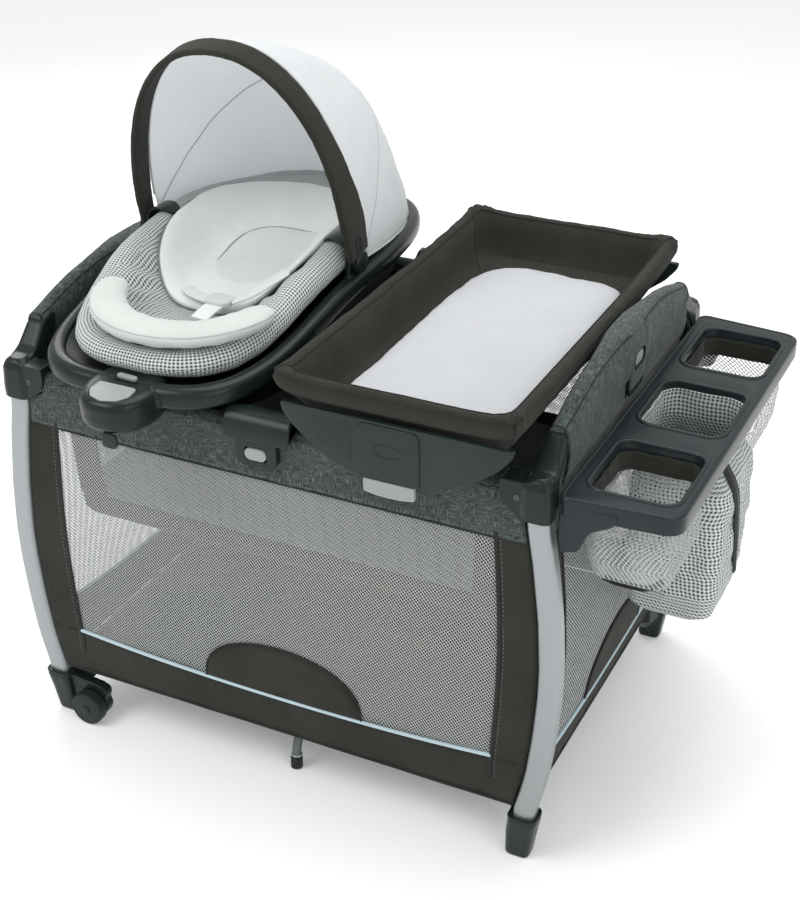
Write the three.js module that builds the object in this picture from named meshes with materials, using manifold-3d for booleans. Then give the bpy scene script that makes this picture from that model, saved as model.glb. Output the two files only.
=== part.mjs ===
// Travel play yard: folding leg frame with a central hub, sewn mesh walls, bassinet insert,
// infant seat with folding canopy, lift-off changer and a hanging organizer.
// Millimetres, +Z up. Origin on the floor at the centre of the yard, +X to the right along the
// long side, -Y towards the front. Corner pieces are built at +X +Y and mirrored.
import * as THREE from 'three';
import { mergeVertices } from 'three/addons/utils/BufferGeometryUtils.js';
import Module from 'manifold-3d';

const kernel = await Module();
kernel.setup();

// ---------------------------------------------------------------- driving dimensions
const LEG_X = 479; // leg centre at the corner cap
const LEG_Y = 355; // leg centre, all heights
const LEG_BOTTOM = 56;
const LEG_TOP = 720;
const FOOT_TOP = 90;
const CAP_BOTTOM = 672;
const LEG_HALF_WIDTH = 19; // along X
const LEG_HALF_DEPTH = 17; // along Y

const LATCH_PIVOT = 30; // latch pivot offset from the middle of a rail
const SPAN_X = 410; // pivot to pivot along half a long rail
const SPAN_Y = 255; // pivot to pivot along half an end rail
const PIN_RADIUS = 4;
const PIN_HOLE_RADIUS = 4.5;

// Upper rails. The axis is the one square to the rail, centre is the rail's place on it.
const LONG_SIDE = { axis: 'y', centre: LEG_Y, railZ: 710, cornerPivot: LATCH_PIVOT + SPAN_X };
const END_SIDE = { axis: 'x', centre: LEG_X, railZ: 770, cornerPivot: LATCH_PIVOT + SPAN_Y };

// Floor tubes, each running diagonally from a hub pivot to a foot pivot
const HUB_PIVOT = [38, 50];
const FOOT_PIVOT = [HUB_PIVOT[0] + SPAN_X, HUB_PIVOT[1] + SPAN_Y];
const FLOOR_PIVOT_Z = 75;

const WHEEL_X = 402;
const WHEEL_Z = 33.5;
const SEAT_X = -222;
const SEAT_Y = -2;
const CANOPY_Y = 0; // canopy pivot axis
const CANOPY_Z = 865;
const CHANGER_X = 248.5;
const ORGANIZER_X = 602; // pocket centre line
const BAG_PITCH = 230;

const MIRRORS = [[1, 1], [-1, 1], [1, -1], [-1, -1]];

// ---------------------------------------------------------------- points, outlines and rings
const point = (x, y, z) => new THREE.Vector3(x, y, z);
const radians = (degrees) => degrees * Math.PI / 180;

// Places an outline point (u, v) at w along the axis; (u, v) is (x, y), (y, z) or (x, z)
const PLACE = {
  z: (u, v, w) => point(u, v, w),
  x: (u, v, w) => point(w, u, v),
  y: (u, v, w) => point(u, w, v),
};

// Linear interpolation in a table of [input, output], held constant beyond its ends
const interpolate = (table) => (input) => {
  if (input <= table[0][0]) return table[0][1];
  for (let i = 1; i < table.length; i++) {
    if (input <= table[i][0]) {
      const [start, startValue] = table[i - 1];
      const [end, endValue] = table[i];
      return startValue + (endValue - startValue) * (input - start) / (end - start);
    }
  }
  return table[table.length - 1][1];
};

const rectangle = (u0, u1, v0, v1) => [[u0, v0], [u1, v0], [u1, v1], [u0, v1]];

function arc(u, v, radius, startDegrees, steps) {
  return Array.from({ length: steps + 1 }, (_, i) => {
    const angle = radians(startDegrees + 90 * i / steps);
    return [u + radius * Math.cos(angle), v + radius * Math.sin(angle)];
  });
}

function roundedRectangle(u0, u1, v0, v1, radius, steps = 3) {
  return [
    ...arc(u1 - radius, v1 - radius, radius, 0, steps),
    ...arc(u0 + radius, v1 - radius, radius, 90, steps),
    ...arc(u0 + radius, v0 + radius, radius, 180, steps),
    ...arc(u1 - radius, v0 + radius, radius, 270, steps),
  ];
}

const levelRing = (outline, z) => outline.map(([x, y]) => point(x, y, z));

function roundedRing(x, y, halfX, halfY, radius, z, steps = 3) {
  const outline = roundedRectangle(x - halfX, x + halfX, y - halfY, y + halfY, radius, steps);
  return levelRing(outline, z);
}

// Rows are [half X, half Y, corner radius, z]
const roundedRings = (x, y, rows, steps) =>
  rows.map(([halfX, halfY, radius, z]) => roundedRing(x, y, halfX, halfY, radius, z, steps));

// Superellipse with [front, back] exponents; height is a number or a function of y
function ovalRing(centreX, centreY, halfX, halfY, exponents, height, count) {
  return Array.from({ length: count }, (_, i) => {
    const cos = Math.cos(2 * Math.PI * i / count);
    const sin = Math.sin(2 * Math.PI * i / count);
    const power = 2 / exponents[sin < 0 ? 0 : 1];
    const x = centreX + Math.sign(cos) * Math.abs(cos) ** power * halfX;
    const y = centreY + Math.sign(sin) * Math.abs(sin) ** power * halfY;
    return point(x, y, typeof height === 'function' ? height(y) : height);
  });
}

// Unit direction of a path at point i
function tangentAt(path, i) {
  const before = path[Math.max(i - 1, 0)];
  const after = path[Math.min(i + 1, path.length - 1)];
  return after.clone().sub(before).normalize();
}

// ---------------------------------------------------------------- solids
// Closed mesh, turned outwards by the sign of its volume
function meshFrom(points, triangles) {
  let volume = 0;
  for (const [a, b, c] of triangles) {
    volume += points[a].dot(points[b].clone().cross(points[c]));
  }
  const geometry = new THREE.BufferGeometry();
  const positions = points.flatMap((p) => [p.x, p.y, p.z]);
  geometry.setAttribute('position', new THREE.Float32BufferAttribute(positions, 3));
  geometry.setIndex(triangles.flatMap(([a, b, c]) => (volume < 0 ? [a, c, b] : [a, b, c])));
  return geometry;
}

// Rings of equal count joined in order; closed joins the last to the first, else both ends
// get a cap
function loft(rings, closed = false) {
  const count = rings[0].length;
  const points = rings.flat();
  const triangles = [];
  const steps = closed ? rings.length : rings.length - 1;
  for (let i = 0; i < steps; i++) {
    const near = i * count;
    const far = ((i + 1) % rings.length) * count;
    for (let j = 0; j < count; j++) {
      const k = (j + 1) % count;
      triangles.push([near + j, near + k, far + k], [near + j, far + k, far + j]);
    }
  }
  if (!closed) {
    for (const [r, flip] of [[0, true], [rings.length - 1, false]]) {
      const centre = new THREE.Vector3();
      rings[r].forEach((p) => centre.add(p));
      centre.multiplyScalar(1 / count);
      const hub = points.push(centre) - 1;
      for (let j = 0; j < count; j++) {
        const a = r * count + j;
        const b = r * count + (j + 1) % count;
        triangles.push(flip ? [hub, b, a] : [hub, a, b]);
      }
    }
  }
  return meshFrom(points, triangles);
}

// Thin sheet between two grids of points of equal size
function sheet(outer, inner) {
  const rows = outer.length;
  const columns = outer[0].length;
  const triangles = [];
  const front = (i, j) => i * columns + j;
  const back = (i, j) => rows * columns + front(i, j);
  const quad = (a, b, c, d) => triangles.push([a, b, c], [a, c, d]);
  const right = columns - 1;
  const last = rows - 1;
  for (let i = 0; i < last; i++) {
    for (let j = 0; j < right; j++) {
      quad(front(i, j), front(i, j + 1), front(i + 1, j + 1), front(i + 1, j));
      quad(back(i, j), back(i + 1, j), back(i + 1, j + 1), back(i, j + 1));
    }
    quad(front(i, 0), front(i + 1, 0), back(i + 1, 0), back(i, 0));
    quad(front(i, right), back(i, right), back(i + 1, right), front(i + 1, right));
  }
  for (let j = 0; j < right; j++) {
    quad(front(0, j), back(0, j), back(0, j + 1), front(0, j + 1));
    quad(front(last, j), front(last, j + 1), back(last, j + 1), back(last, j));
  }
  return meshFrom([...outer.flat(), ...inner.flat()], triangles);
}

// Straight prism of a plane outline along an axis
function prism(outline, axis, from, to) {
  const corners = outline.map(([u, v]) => new THREE.Vector2(u, v));
  if (THREE.ShapeUtils.area(corners) < 0) corners.reverse();
  const count = corners.length;
  const points = [from, to].flatMap((w) => corners.map((p) => PLACE[axis](p.x, p.y, w)));
  const triangles = [];
  for (const [a, b, c] of THREE.ShapeUtils.triangulateShape(corners, [])) {
    triangles.push([a, c, b], [a + count, b + count, c + count]);
  }
  for (let j = 0; j < count; j++) {
    const k = (j + 1) % count;
    triangles.push([j, k, k + count], [j, k + count, j + count]);
  }
  return meshFrom(points, triangles);
}

const box = (x0, x1, y0, y1, z0, z1) => prism(rectangle(x0, x1, y0, y1), 'z', z0, z1);

// Round tube along a path, solid when the bore is 0
function tube(path, radius, bore = 0, count = 8) {
  const ringsOf = (ringRadius) => {
    let up = Math.abs(tangentAt(path, 0).z) < 0.9 ? point(0, 0, 1) : point(1, 0, 0);
    return path.map((centre, i) => {
      const tangent = tangentAt(path, i);
      const side = tangent.clone().cross(up).normalize();
      up = side.clone().cross(tangent).normalize();
      return Array.from({ length: count }, (_, k) => {
        const angle = 2 * Math.PI * (k + 0.5) / count;
        return centre.clone()
          .addScaledVector(side, ringRadius * Math.cos(angle))
          .addScaledVector(up, ringRadius * Math.sin(angle));
      });
    });
  };
  const outer = ringsOf(radius);
  return bore ? loft([...outer, ...ringsOf(bore).reverse()], true) : loft(outer);
}

const cylinder = (axis, radius, u, v, from, to, count = 8) =>
  tube([PLACE[axis](u, v, from), PLACE[axis](u, v, to)], radius, 0, count);

function toManifold(geometry) {
  const merged = mergeVertices(geometry, 1e-4);
  return new kernel.Manifold(new kernel.Mesh({
    numProp: 3,
    vertProperties: new Float32Array(merged.attributes.position.array),
    triVerts: new Uint32Array(merged.index.array),
  }));
}

function fromManifold(manifold) {
  const mesh = manifold.getMesh();
  const positions = Array.from(mesh.vertProperties);
  const geometry = new THREE.BufferGeometry();
  geometry.setAttribute('position', new THREE.Float32BufferAttribute(positions, 3));
  geometry.setIndex(Array.from(mesh.triVerts));
  return geometry;
}

const join = (...parts) => fromManifold(parts.map(toManifold).reduce((a, b) => a.add(b)));
const cut = (body, ...tools) =>
  fromManifold(tools.map(toManifold).reduce((a, b) => a.subtract(b), toManifold(body)));

// Copy scaled by the signs of X and Y; an odd mirror swaps the triangle winding
function mirrored(geometry, signX, signY) {
  const copy = geometry.clone().scale(signX, signY, 1);
  if (signX * signY < 0) {
    const index = copy.index.array;
    for (let i = 0; i < index.length; i += 3) {
      [index[i + 1], index[i + 2]] = [index[i + 2], index[i + 1]];
    }
  }
  return copy;
}

// ---------------------------------------------------------------- rail joints
// Cylinder through a rail line, square to it
const crossPin = ({ axis, centre, railZ }, radius, along, halfLength) =>
  cylinder(axis, radius, along, railZ, centre - halfLength, centre + halfLength);
const jointPin = (side, along) => crossPin(side, PIN_RADIUS, along, 14);
// Slot that takes the end of a rail
const railSlot = ({ axis, centre }, start, end, bottom, top) =>
  prism(rectangle(start, end, bottom, top), axis, centre - 12, centre + 12);

// ---------------------------------------------------------------- legs
// Bow of the leg: [z, centre X]
const legXAt = interpolate([
  [92, 473], [110, 475], [145, 484], [185, 492], [260, 501], [340, 507], [400, 508],
  [490, 503], [590, 491], [650, 481], [CAP_BOTTOM, LEG_X],
]);

// Bent oval tube, bowed outwards
function makeLeg() {
  const wall = 2;
  const cornerRadius = 13;
  const heights = [LEG_BOTTOM, 92, 122, 165, 225, 310, 400, 490, 590, CAP_BOTTOM, LEG_TOP];
  const ringsAt = (inset) => heights.map((z) => roundedRing(legXAt(z), LEG_Y,
    LEG_HALF_WIDTH - inset, LEG_HALF_DEPTH - inset, cornerRadius - inset, z, 2));
  return loft([...ringsAt(0), ...ringsAt(wall).reverse()], true);
}

// Hole for a leg end, larger than the leg by the gap
const legSocket = (x, gap, radius, bottom, top) => loft([bottom, top].map((z) =>
  roundedRing(x, LEG_Y, LEG_HALF_WIDTH + gap, LEG_HALF_DEPTH + gap, radius, z, 2)));

// Corner cap: socket for the leg and two slotted arms
function makeCornerCap() {
  const body = loft(roundedRings(477.5, LEG_Y, [
    [25, 24.5, 11, CAP_BOTTOM], [25.5, 25, 11, 690], [24, 24, 11, 728],
    [20.5, 20.5, 11, 738], [14, 14, 11, 744],
  ], 2));
  const longArm = prism([ // x, z
    [418, 732], [418, 708], [424, 696], [436, 684], [450, 675], [462, 672], [462, 736], [422, 736],
  ], 'y', 335, 375);
  const endArmStations = [ // y, half width in X, bottom z, top z
    [350, 23, 672, 743], [342, 23, 676, 745], [330, 21.5, 698, 753], [318, 20, 716, 767],
    [304, 18.5, 732, 784], [290, 17, 745, 793], [272, 16.5, 751, 796], [264, 15.5, 753, 794],
  ];
  const endArm = loft(endArmStations.map(([y, halfX, bottom, top]) =>
    roundedRectangle(478.5 - halfX, 478.5 + halfX, bottom, top, 9, 2)
      .map(([x, z]) => point(x, y, z))));
  const slotted = cut(
    join(body, longArm, endArm),
    railSlot(LONG_SIDE, 410, 455.5, 660, 725.5),
    railSlot(END_SIDE, 250, 300.5, 735, 785),
    legSocket(LEG_X, 0.5, 13.4, 660, LEG_TOP + 0.5),
  );
  return join(slotted, ...[LONG_SIDE, END_SIDE].map((side) => jointPin(side, side.cornerPivot)));
}

// ---------------------------------------------------------------- diagonal floor tube frame
const DIAGONAL = Math.hypot(SPAN_X, SPAN_Y);
const DIAGONAL_X = SPAN_X / DIAGONAL; // unit direction from hub to foot
const DIAGONAL_Y = SPAN_Y / DIAGONAL;

const diagonalPoint = ([x, y], along, across) => [
  x + along * DIAGONAL_X - across * DIAGONAL_Y,
  y + along * DIAGONAL_Y + across * DIAGONAL_X,
];
const onFloorTube = (...place) => point(...diagonalPoint(...place), FLOOR_PIVOT_Z);

function floorTubeSlot(pivot, start, end, bottom, top) {
  const corners = rectangle(start, end, -11.5, 11.5);
  return prism(corners.map((corner) => diagonalPoint(pivot, ...corner)), 'z', bottom, top);
}

const diagonalPin = (pivot, radius, halfLength) =>
  tube([onFloorTube(pivot, 0, -halfLength), onFloorTube(pivot, 0, halfLength)], radius);

function makeFloorTube() {
  const path = [onFloorTube(HUB_PIVOT, -8, 0), onFloorTube(FOOT_PIVOT, 8, 0)];
  const holes = [HUB_PIVOT, FOOT_PIVOT].map((pivot) => diagonalPin(pivot, PIN_HOLE_RADIUS, 30));
  return cut(tube(path, 10, 8.5), ...holes);
}

// Foot: tapered boot with a slotted fin towards the hub; two feet also carry a wheel
function makeFoot(withWheel) {
  const bootStations = [ // centre x, centre y, half X, half Y, corner radius, z
    [463, 351, 20, 16, 9, 0], [463, 351, 22, 18, 10, 5], [467, 353, 25, 21, 12, 50],
    [472, 355, 26, 23.5, 13, 82], [472, 355, 25, 22.5, 12, FOOT_TOP],
  ];
  const boot = loft(bootStations.map((station) => roundedRing(...station)));
  const finPlan = [
    diagonalPoint(FOOT_PIVOT, -14, -16), diagonalPoint(FOOT_PIVOT, 20, -16),
    [486, 340], [482, 358], [458, 360], [450, 346], diagonalPoint(FOOT_PIVOT, -14, 16),
  ];
  // The plan shrinks towards a point inside the boot
  const finRing = (shrink, z) =>
    finPlan.map(([x, y]) => point(x + (470 - x) * shrink, y + (352 - y) * shrink, z));
  let foot = join(boot, loft([finRing(0.8, 14), finRing(0, 58), finRing(0, FOOT_TOP)]));
  if (withWheel) {
    const bracket = prism([ // x, z
      [462, 10], [462, 86], [440, 84], [384, 78], [371, 72],
      [369, 62], [373, 50], [369, 34], [374, 20], [388, 11],
    ], 'y', 346, 365);
    foot = join(foot, bracket);
  }
  foot = cut(foot, floorTubeSlot(FOOT_PIVOT, -70, 14, 62, 110),
    legSocket(473, 0.6, 13.5, LEG_BOTTOM - 0.6, FOOT_TOP + 6));
  foot = join(foot, diagonalPin(FOOT_PIVOT, PIN_RADIUS, 14));
  if (withWheel) {
    const axle = cylinder('y', 5, WHEEL_X, WHEEL_Z, 360, 392);
    const axleHead = cylinder('y', 9, WHEEL_X, WHEEL_Z, 390.6, 393.5);
    foot = join(foot, axle, axleHead);
  }
  return foot;
}

function makeWheel() {
  const profile = [ // radius, y
    [5.6, 366.6], [12, 366.6], [13, 368.5], [27, 368.5], [31, 367.6],
    [33, 371], [33, 386], [31, 389.4], [26, 390], [5.6, 390],
  ];
  const count = 20;
  return loft(profile.map(([radius, y]) => Array.from({ length: count }, (_, k) => {
    const angle = 2 * Math.PI * k / count;
    return point(WHEEL_X + radius * Math.cos(angle), y, WHEEL_Z + radius * Math.sin(angle));
  })), true);
}

// ---------------------------------------------------------------- half rails and latches
// Bends are [distance along the rail, height above the pivots]
function makeHalfRail(side, bends) {
  const overhang = 9; // beyond each pivot
  const stations = [[LATCH_PIVOT - overhang, 0], ...bends, [side.cornerPivot + overhang, 0]];
  const path = stations.map(([along, rise]) =>
    PLACE[side.axis](along, side.railZ + rise, side.centre));
  const holes = [LATCH_PIVOT, side.cornerPivot].map((along) =>
    crossPin(side, PIN_HOLE_RADIUS, along, 35));
  return cut(tube(path, 11, 9.5), ...holes);
}
const END_RAIL_RISE = 14;
const END_RAIL_BENDS = [[42, 0], [80, END_RAIL_RISE], [215, END_RAIL_RISE], [260, 0]];

// Latch button face, centred on the latch
const BUTTON = { halfWidth: 20, height: 22, radius: 5 };
const POCKET_FLOOR = 15; // from the rail line outwards
const BUTTON_FACE = 27;
const LATCH_TRAVEL = 3.5;

const buttonOutline = (bottom, gap) => roundedRectangle(
  -BUTTON.halfWidth - gap, BUTTON.halfWidth + gap,
  bottom - gap, bottom + BUTTON.height + gap, BUTTON.radius);

// Mid-rail housing, slotted for both half rails, with a button pocket on the outside
function makeLatch(side, bottom, top, buttonBottom) {
  const { axis, centre, railZ } = side;
  const housing = cut(
    prism(roundedRectangle(-38, 38, bottom, top, 9), axis, centre - 25, centre + 25),
    railSlot(side, -50, 50, railZ - 15, top + 18),
    prism(buttonOutline(buttonBottom, 0.4), axis, centre + POCKET_FLOOR, centre + 35),
  );
  return join(housing, jointPin(side, -LATCH_PIVOT), jointPin(side, LATCH_PIVOT));
}

const makeLatchButton = ({ axis, centre }, bottom) => prism(buttonOutline(bottom, 0), axis,
  centre + POCKET_FLOOR + 0.3 + LATCH_TRAVEL, centre + BUTTON_FACE);

const LONG_BUTTON_BOTTOM = 665;
const END_BUTTON_BOTTOM = 776;

// ---------------------------------------------------------------- hub and support legs
const SUPPORT_X = 15;
const SUPPORT_PIVOT_Y = -78;
const SUPPORT_Z = 68;

function makeHub() {
  const block = loft(roundedRings(0, 0,
    [[52, 64, 14, 58], [54, 66, 16, 62], [54, 66, 16, 92], [48, 60, 12, 96]], 2));
  const post = loft(roundedRings(0, 0,
    [[19, 19, 12, 0], [21, 21, 13, 4], [18, 18, 12, 12], [20, 20, 12, 61]], 2));
  const slot = floorTubeSlot(HUB_PIVOT, -14, 70, 40, 88.5);
  const slots = MIRRORS.map((signs) => mirrored(slot, ...signs));
  const pin = diagonalPin(HUB_PIVOT, PIN_RADIUS, 13.5);
  const pins = MIRRORS.map((signs) => mirrored(pin, ...signs));
  const ears = [];
  for (const sign of [1, -1]) { // front pair at +X, back pair at -X
    for (const [x0, x1] of [[2, 5.5], [24.5, 28]]) {
      ears.push(mirrored(box(x0, x1, SUPPORT_PIVOT_Y - 10, -62, 59, 79), sign, sign));
    }
    const supportPin = cylinder('x', 3, SUPPORT_PIVOT_Y, SUPPORT_Z, SUPPORT_X - 11, SUPPORT_X + 11);
    pins.push(mirrored(supportPin, sign, sign));
  }
  return join(cut(join(block, post, ...ears), ...slots), ...pins);
}

// Front support leg, bent down to the floor
function makeSupportLeg() {
  const path = [ // y, z
    [SUPPORT_PIVOT_Y + 7, SUPPORT_Z], [-286, SUPPORT_Z], [-303, 65],
    [-316, 55], [-322, 40], [-325, 0.5],
  ].map(([y, z]) => point(SUPPORT_X, y, z));
  return cut(tube(path, 8.5, 7),
    cylinder('x', 3.4, SUPPORT_PIVOT_Y, SUPPORT_Z, SUPPORT_X - 25, SUPPORT_X + 25));
}

// ---------------------------------------------------------------- sewn walls, floor, bassinet
const WALL_HEIGHTS = [112, 145, 185, 260, 340, 400, 490, 590];

function makeLongWall() {
  return loft([...WALL_HEIGHTS, 648].map((z) => {
    const halfX = legXAt(z) - 20.5;
    return levelRing(rectangle(-halfX, halfX, LEG_Y + 4, LEG_Y + 7), z);
  }));
}

// The end wall narrows above z 668 to pass between the corner caps
function makeEndWall() {
  return loft([...WALL_HEIGHTS, 650, 668, 669, 722].map((z) => {
    const halfY = z > 668 ? 312 : 336;
    return levelRing(rectangle(legXAt(z) - 2, legXAt(z) + 1, -halfY, halfY), z);
  }));
}

const makeFloorPanel = () => prism(roundedRectangle(-452, 452, -350, 350, 12), 'z', 100, 104);

const makeBassinet = () => loft(roundedRings(0, 0, [
  [416, 308, 30, 428], [424, 316, 34, 436], [436, 326, 36, 690],
  [433, 323, 34, 690], [421, 313, 32, 438], [413, 305, 28, 431],
]));

const makeMattress = () => loft(roundedRings(0, 0,
  [[398, 292, 26, 434], [404, 298, 30, 440], [404, 298, 30, 454], [398, 292, 26, 460]]));

// ---------------------------------------------------------------- seat
// [front, back] exponents of the plan ovals
const OVAL = [2.6, 2.6];
const RING_PLAN = [3.8, 2.8];
const CUSHION_PLAN = [3.0, 2.6];

// Rows are [half X, half Y, height, exponents]
const seatLoft = (rows) => loft(rows.map(([halfX, halfY, height, exponents = OVAL]) =>
  ovalRing(SEAT_X, SEAT_Y, halfX, halfY, exponents, height, 28)));

// Climb of the seat ring towards the back: [y, rise]
const ringRise = interpolate([
  [-432, 0], [-340, 6], [-250, 18], [-150, 38], [-60, 54], [0, 60], [200, 60], [430, 50],
]);
const raised = (z) => (y) => z + ringRise(y);

function makeSeatBase() {
  const bowl = seatLoft([
    [118, 226, 640], [168, 286, 688], [194, 316, 736],
    [214, 402, raised(738), RING_PLAN], [222, 430, raised(750), RING_PLAN],
    [222, 430, raised(775), RING_PLAN], [211, 418, raised(783), RING_PLAN],
    [195, 402, raised(778), RING_PLAN], [193.5, 398, raised(745), RING_PLAN],
    [190, 312, 741], [164, 281, 691.5], [114, 221, 644],
  ]);
  const lobe = loft([ // half X, half Y, z
    [54, 64, 728], [62, 72, 738], [63, 73, 756], [58, 68, 766],
  ].map(([halfX, halfY, z]) => ovalRing(-210, -428, halfX, halfY, [2.4, 2.4], z, 20)));
  const ringInside = seatLoft([[194, 400, 755, RING_PLAN], [194, 400, 777.5, RING_PLAN]]);
  const postOutline = [[-22, 800], [22, 800], [15, 870], [8, 880], [-8, 880], [-15, 870]]; // y, z
  const posts = [1, -1].map((sign) =>
    prism(postOutline, 'x', SEAT_X + sign * 201.5, SEAT_X + sign * 209.5));
  const buttonPocket = prism([ // x, y
    [-248, -478], [-248, -452], [-172, -452], [-172, -478],
    [-184, -489], [-210, -493], [-236, -489],
  ], 'z', 758, 790);
  const shell = cut(join(bowl, ...posts, cut(lobe, ringInside)), buttonPocket);
  const canopyPins = [1, -1].map((sign) =>
    cylinder('x', 6, CANOPY_Y, CANOPY_Z, SEAT_X + sign * 207, SEAT_X + sign * 226));
  return join(shell, ...canopyPins);
}

const makeSeatButton = () => prism([ // x, y
  [-247.6, -477.8], [-247.6, -452.4], [-172.4, -452.4], [-172.4, -477.8],
  [-184.2, -488.6], [-210, -492.6], [-235.8, -488.6],
], 'z', 762.5, 771);

const makeVibrationSwitch = () => loft(roundedRings(-208, -417.5,
  [[19, 5.5, 4, 784], [17.5, 4.2, 3, 790]]));

// Cushion heights along the seat: [y, z]
const rimHeight = interpolate([
  [-394, 818], [-300, 826], [-200, 858], [-130, 882], [-50, 893], [0, 900],
  [80, 904], [160, 898], [240, 885], [320, 880], [392, 870],
]);
const innerHeight = interpolate([
  [-400, 812], [-320, 812], [-225, 786], [-107, 796], [0, 820],
  [60, 840], [150, 862], [260, 876], [400, 872],
]);

const makeCushion = () => seatLoft([
  [56, 190, (y) => innerHeight(y) - 24],
  [112, 258, (y) => innerHeight(y) - 20],
  [150, 330, (y) => Math.max(778, 786.5 + 0.55 * (innerHeight(y) - 806))],
  [176, 374, raised(786.5), CUSHION_PLAN],
  [194, 389, raised(790.5), CUSHION_PLAN],
  [200, 394, (y) => (raised(792)(y) + rimHeight(y)) / 2, CUSHION_PLAN],
  [188, 378, (y) => rimHeight(y) - 7, CUSHION_PLAN],
  [168, 354, rimHeight],
  [136, 310, (y) => rimHeight(y) - 14],
  [112, 262, (y) => innerHeight(y) + 6],
  [60, 200, innerHeight],
]);

// Curved roll lying on the front part of the cushion, tapered at both ends
function makePillow() {
  const steps = 12;
  const path = Array.from({ length: steps + 1 }, (_, i) => {
    const angle = radians(192 + 156 * i / steps);
    const y = -186 + 148 * Math.sin(angle);
    return point(-212 + 152 * Math.cos(angle), y, Math.max(848, rimHeight(y) + 24));
  });
  return loft(path.map((centre, i) => {
    const size = 24 * Math.min(1, 0.55 + 0.25 * Math.min(i, steps - i));
    const tangent = tangentAt(path, i);
    const side = tangent.clone().cross(point(0, 0, 1)).normalize();
    const up = side.clone().cross(tangent).normalize();
    return Array.from({ length: 12 }, (_, k) => {
      const angle = 2 * Math.PI * k / 12;
      return centre.clone()
        .addScaledVector(side, 1.25 * size * Math.cos(angle))
        .addScaledVector(up, 0.9 * size * Math.sin(angle));
    });
  }));
}

// ---------------------------------------------------------------- canopy
const BOW_HALF_WIDTH = 217;
const BOW_HEIGHT = 372;
const BOW_TILT = radians(-11.5); // negative leans to the front

// Point on an arch in a plane through the pivot axis; positive tilt turns it to the back and
// offset moves it square to that plane
function archPoint(angle, halfWidth, height, tilt, offset = 0) {
  const power = 2 / 2.2;
  const cos = Math.cos(angle);
  const reach = Math.abs(Math.sin(angle)) ** power * height;
  return point(
    SEAT_X - Math.sign(cos) * Math.abs(cos) ** power * halfWidth,
    CANOPY_Y + reach * Math.sin(tilt) + offset * Math.cos(tilt),
    CANOPY_Z + reach * Math.cos(tilt) - offset * Math.sin(tilt),
  );
}

// Angles along an arch, stopping short of the pivot axis by the margin
const archAngles = (steps, margin) =>
  Array.from({ length: steps + 1 }, (_, i) => margin + (Math.PI - 2 * margin) * i / steps);

function makeCanopyBow() {
  const steps = 18;
  const section = [ // across the band, outwards
    [23, -4], [23, 4], [0, 6], [-23, 4], [-23, -4], [0, -4],
  ];
  const path = archAngles(steps, 0.02).map((angle) =>
    archPoint(angle, BOW_HALF_WIDTH, BOW_HEIGHT, BOW_TILT));
  const across = point(0, Math.cos(BOW_TILT), -Math.sin(BOW_TILT));
  const band = loft(path.map((centre, i) => {
    const inward = tangentAt(path, i).cross(across).normalize();
    const taper = Math.min(1, 0.55 + 0.2 * Math.min(i, steps - i));
    return section.map(([width, height]) => centre.clone()
      .addScaledVector(across, Math.sign(width) * Math.abs(width) * taper)
      .addScaledVector(inward, -height));
  }));
  const pivotPair = (radius, inner, outer, count) => [1, -1].map((sign) => cylinder('x', radius,
    CANOPY_Y, CANOPY_Z, SEAT_X + sign * inner, SEAT_X + sign * outer, count));
  return cut(join(band, ...pivotPair(20, 216, 224.5, 20)), ...pivotPair(6.5, 208, 240));
}

// Cloth swept back from the bow, bulging a little on the way
function makeCanopyCover() {
  const sweepSteps = 7;
  const layer = (inset) => Array.from({ length: sweepSteps + 1 }, (_, j) => {
    const sweep = j / sweepSteps;
    const tilt = BOW_TILT + radians(sweep * 101);
    const bulge = 1 + 0.03 * Math.sin(Math.PI * sweep) + 0.16 * sweep ** 1.5;
    return archAngles(14, 0.16).map((angle) => archPoint(
      angle, 215.5 - inset, BOW_HEIGHT * bulge - inset, tilt, 29 * (1 - sweep) ** 2));
  });
  return sheet(layer(0), layer(2.5));
}

// ---------------------------------------------------------------- changer
function makeChangerTray() {
  const rings = roundedRings(CHANGER_X, 0, [
    [150, 335, 40, 745], [158, 343, 45, 750], [190, 376, 40, 796], [202, 399, 40, 812],
    [203.5, 401, 42, 826], [197, 394, 38, 838], [186, 383, 34, 841], [172, 369, 30, 833],
    [167, 364, 28, 818], [176, 372, 32, 807], [184, 370, 36, 798], [150, 335, 38, 754],
  ]);
  // The tray sits 13 mm forward of the middle and its back rim is raised by up to 8 mm
  const settle = ({ x, y, z }) => point(
    x, -13 + y * 0.9676, z + 8 * Math.min(1, Math.max(0, (y - 150) / 225)));
  return loft(rings.map((ring) => ring.map(settle)));
}

const makeChangerPad = () => loft(roundedRings(CHANGER_X + 12, -24,
  [[128, 278, 36, 764], [136, 286, 40, 770], [135, 285, 40, 782], [120, 268, 36, 790]]));

// Front changer piece to its place at the back, 12 mm nearer the middle
const toChangerBack = (geometry) => mirrored(geometry, 1, -1).translate(0, -12, 0);

// Two end clips joined by a pair of bars under the tray
function makeChangerFrame() {
  const clip = join(
    prism([ // x, z
      [450, 795], [452, 770], [432, 736], [384, 709], [304, 700],
      [192, 700], [118, 709], [84, 736], [66, 770], [68, 795],
    ], 'y', -404, -391),
    box(188, 308, -392, -334, 727, 741),
    box(188, 308, -341, -334, 700, 730),
  );
  const bars = [200, 282].map((x) => box(x, x + 14, -338, 330, 729.5, 739.5));
  return join(clip, toChangerBack(clip), ...bars);
}

const makeChangerTab = () => prism(roundedRectangle(204, 292, 669, 697, 6), 'y', -402, -394);

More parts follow.
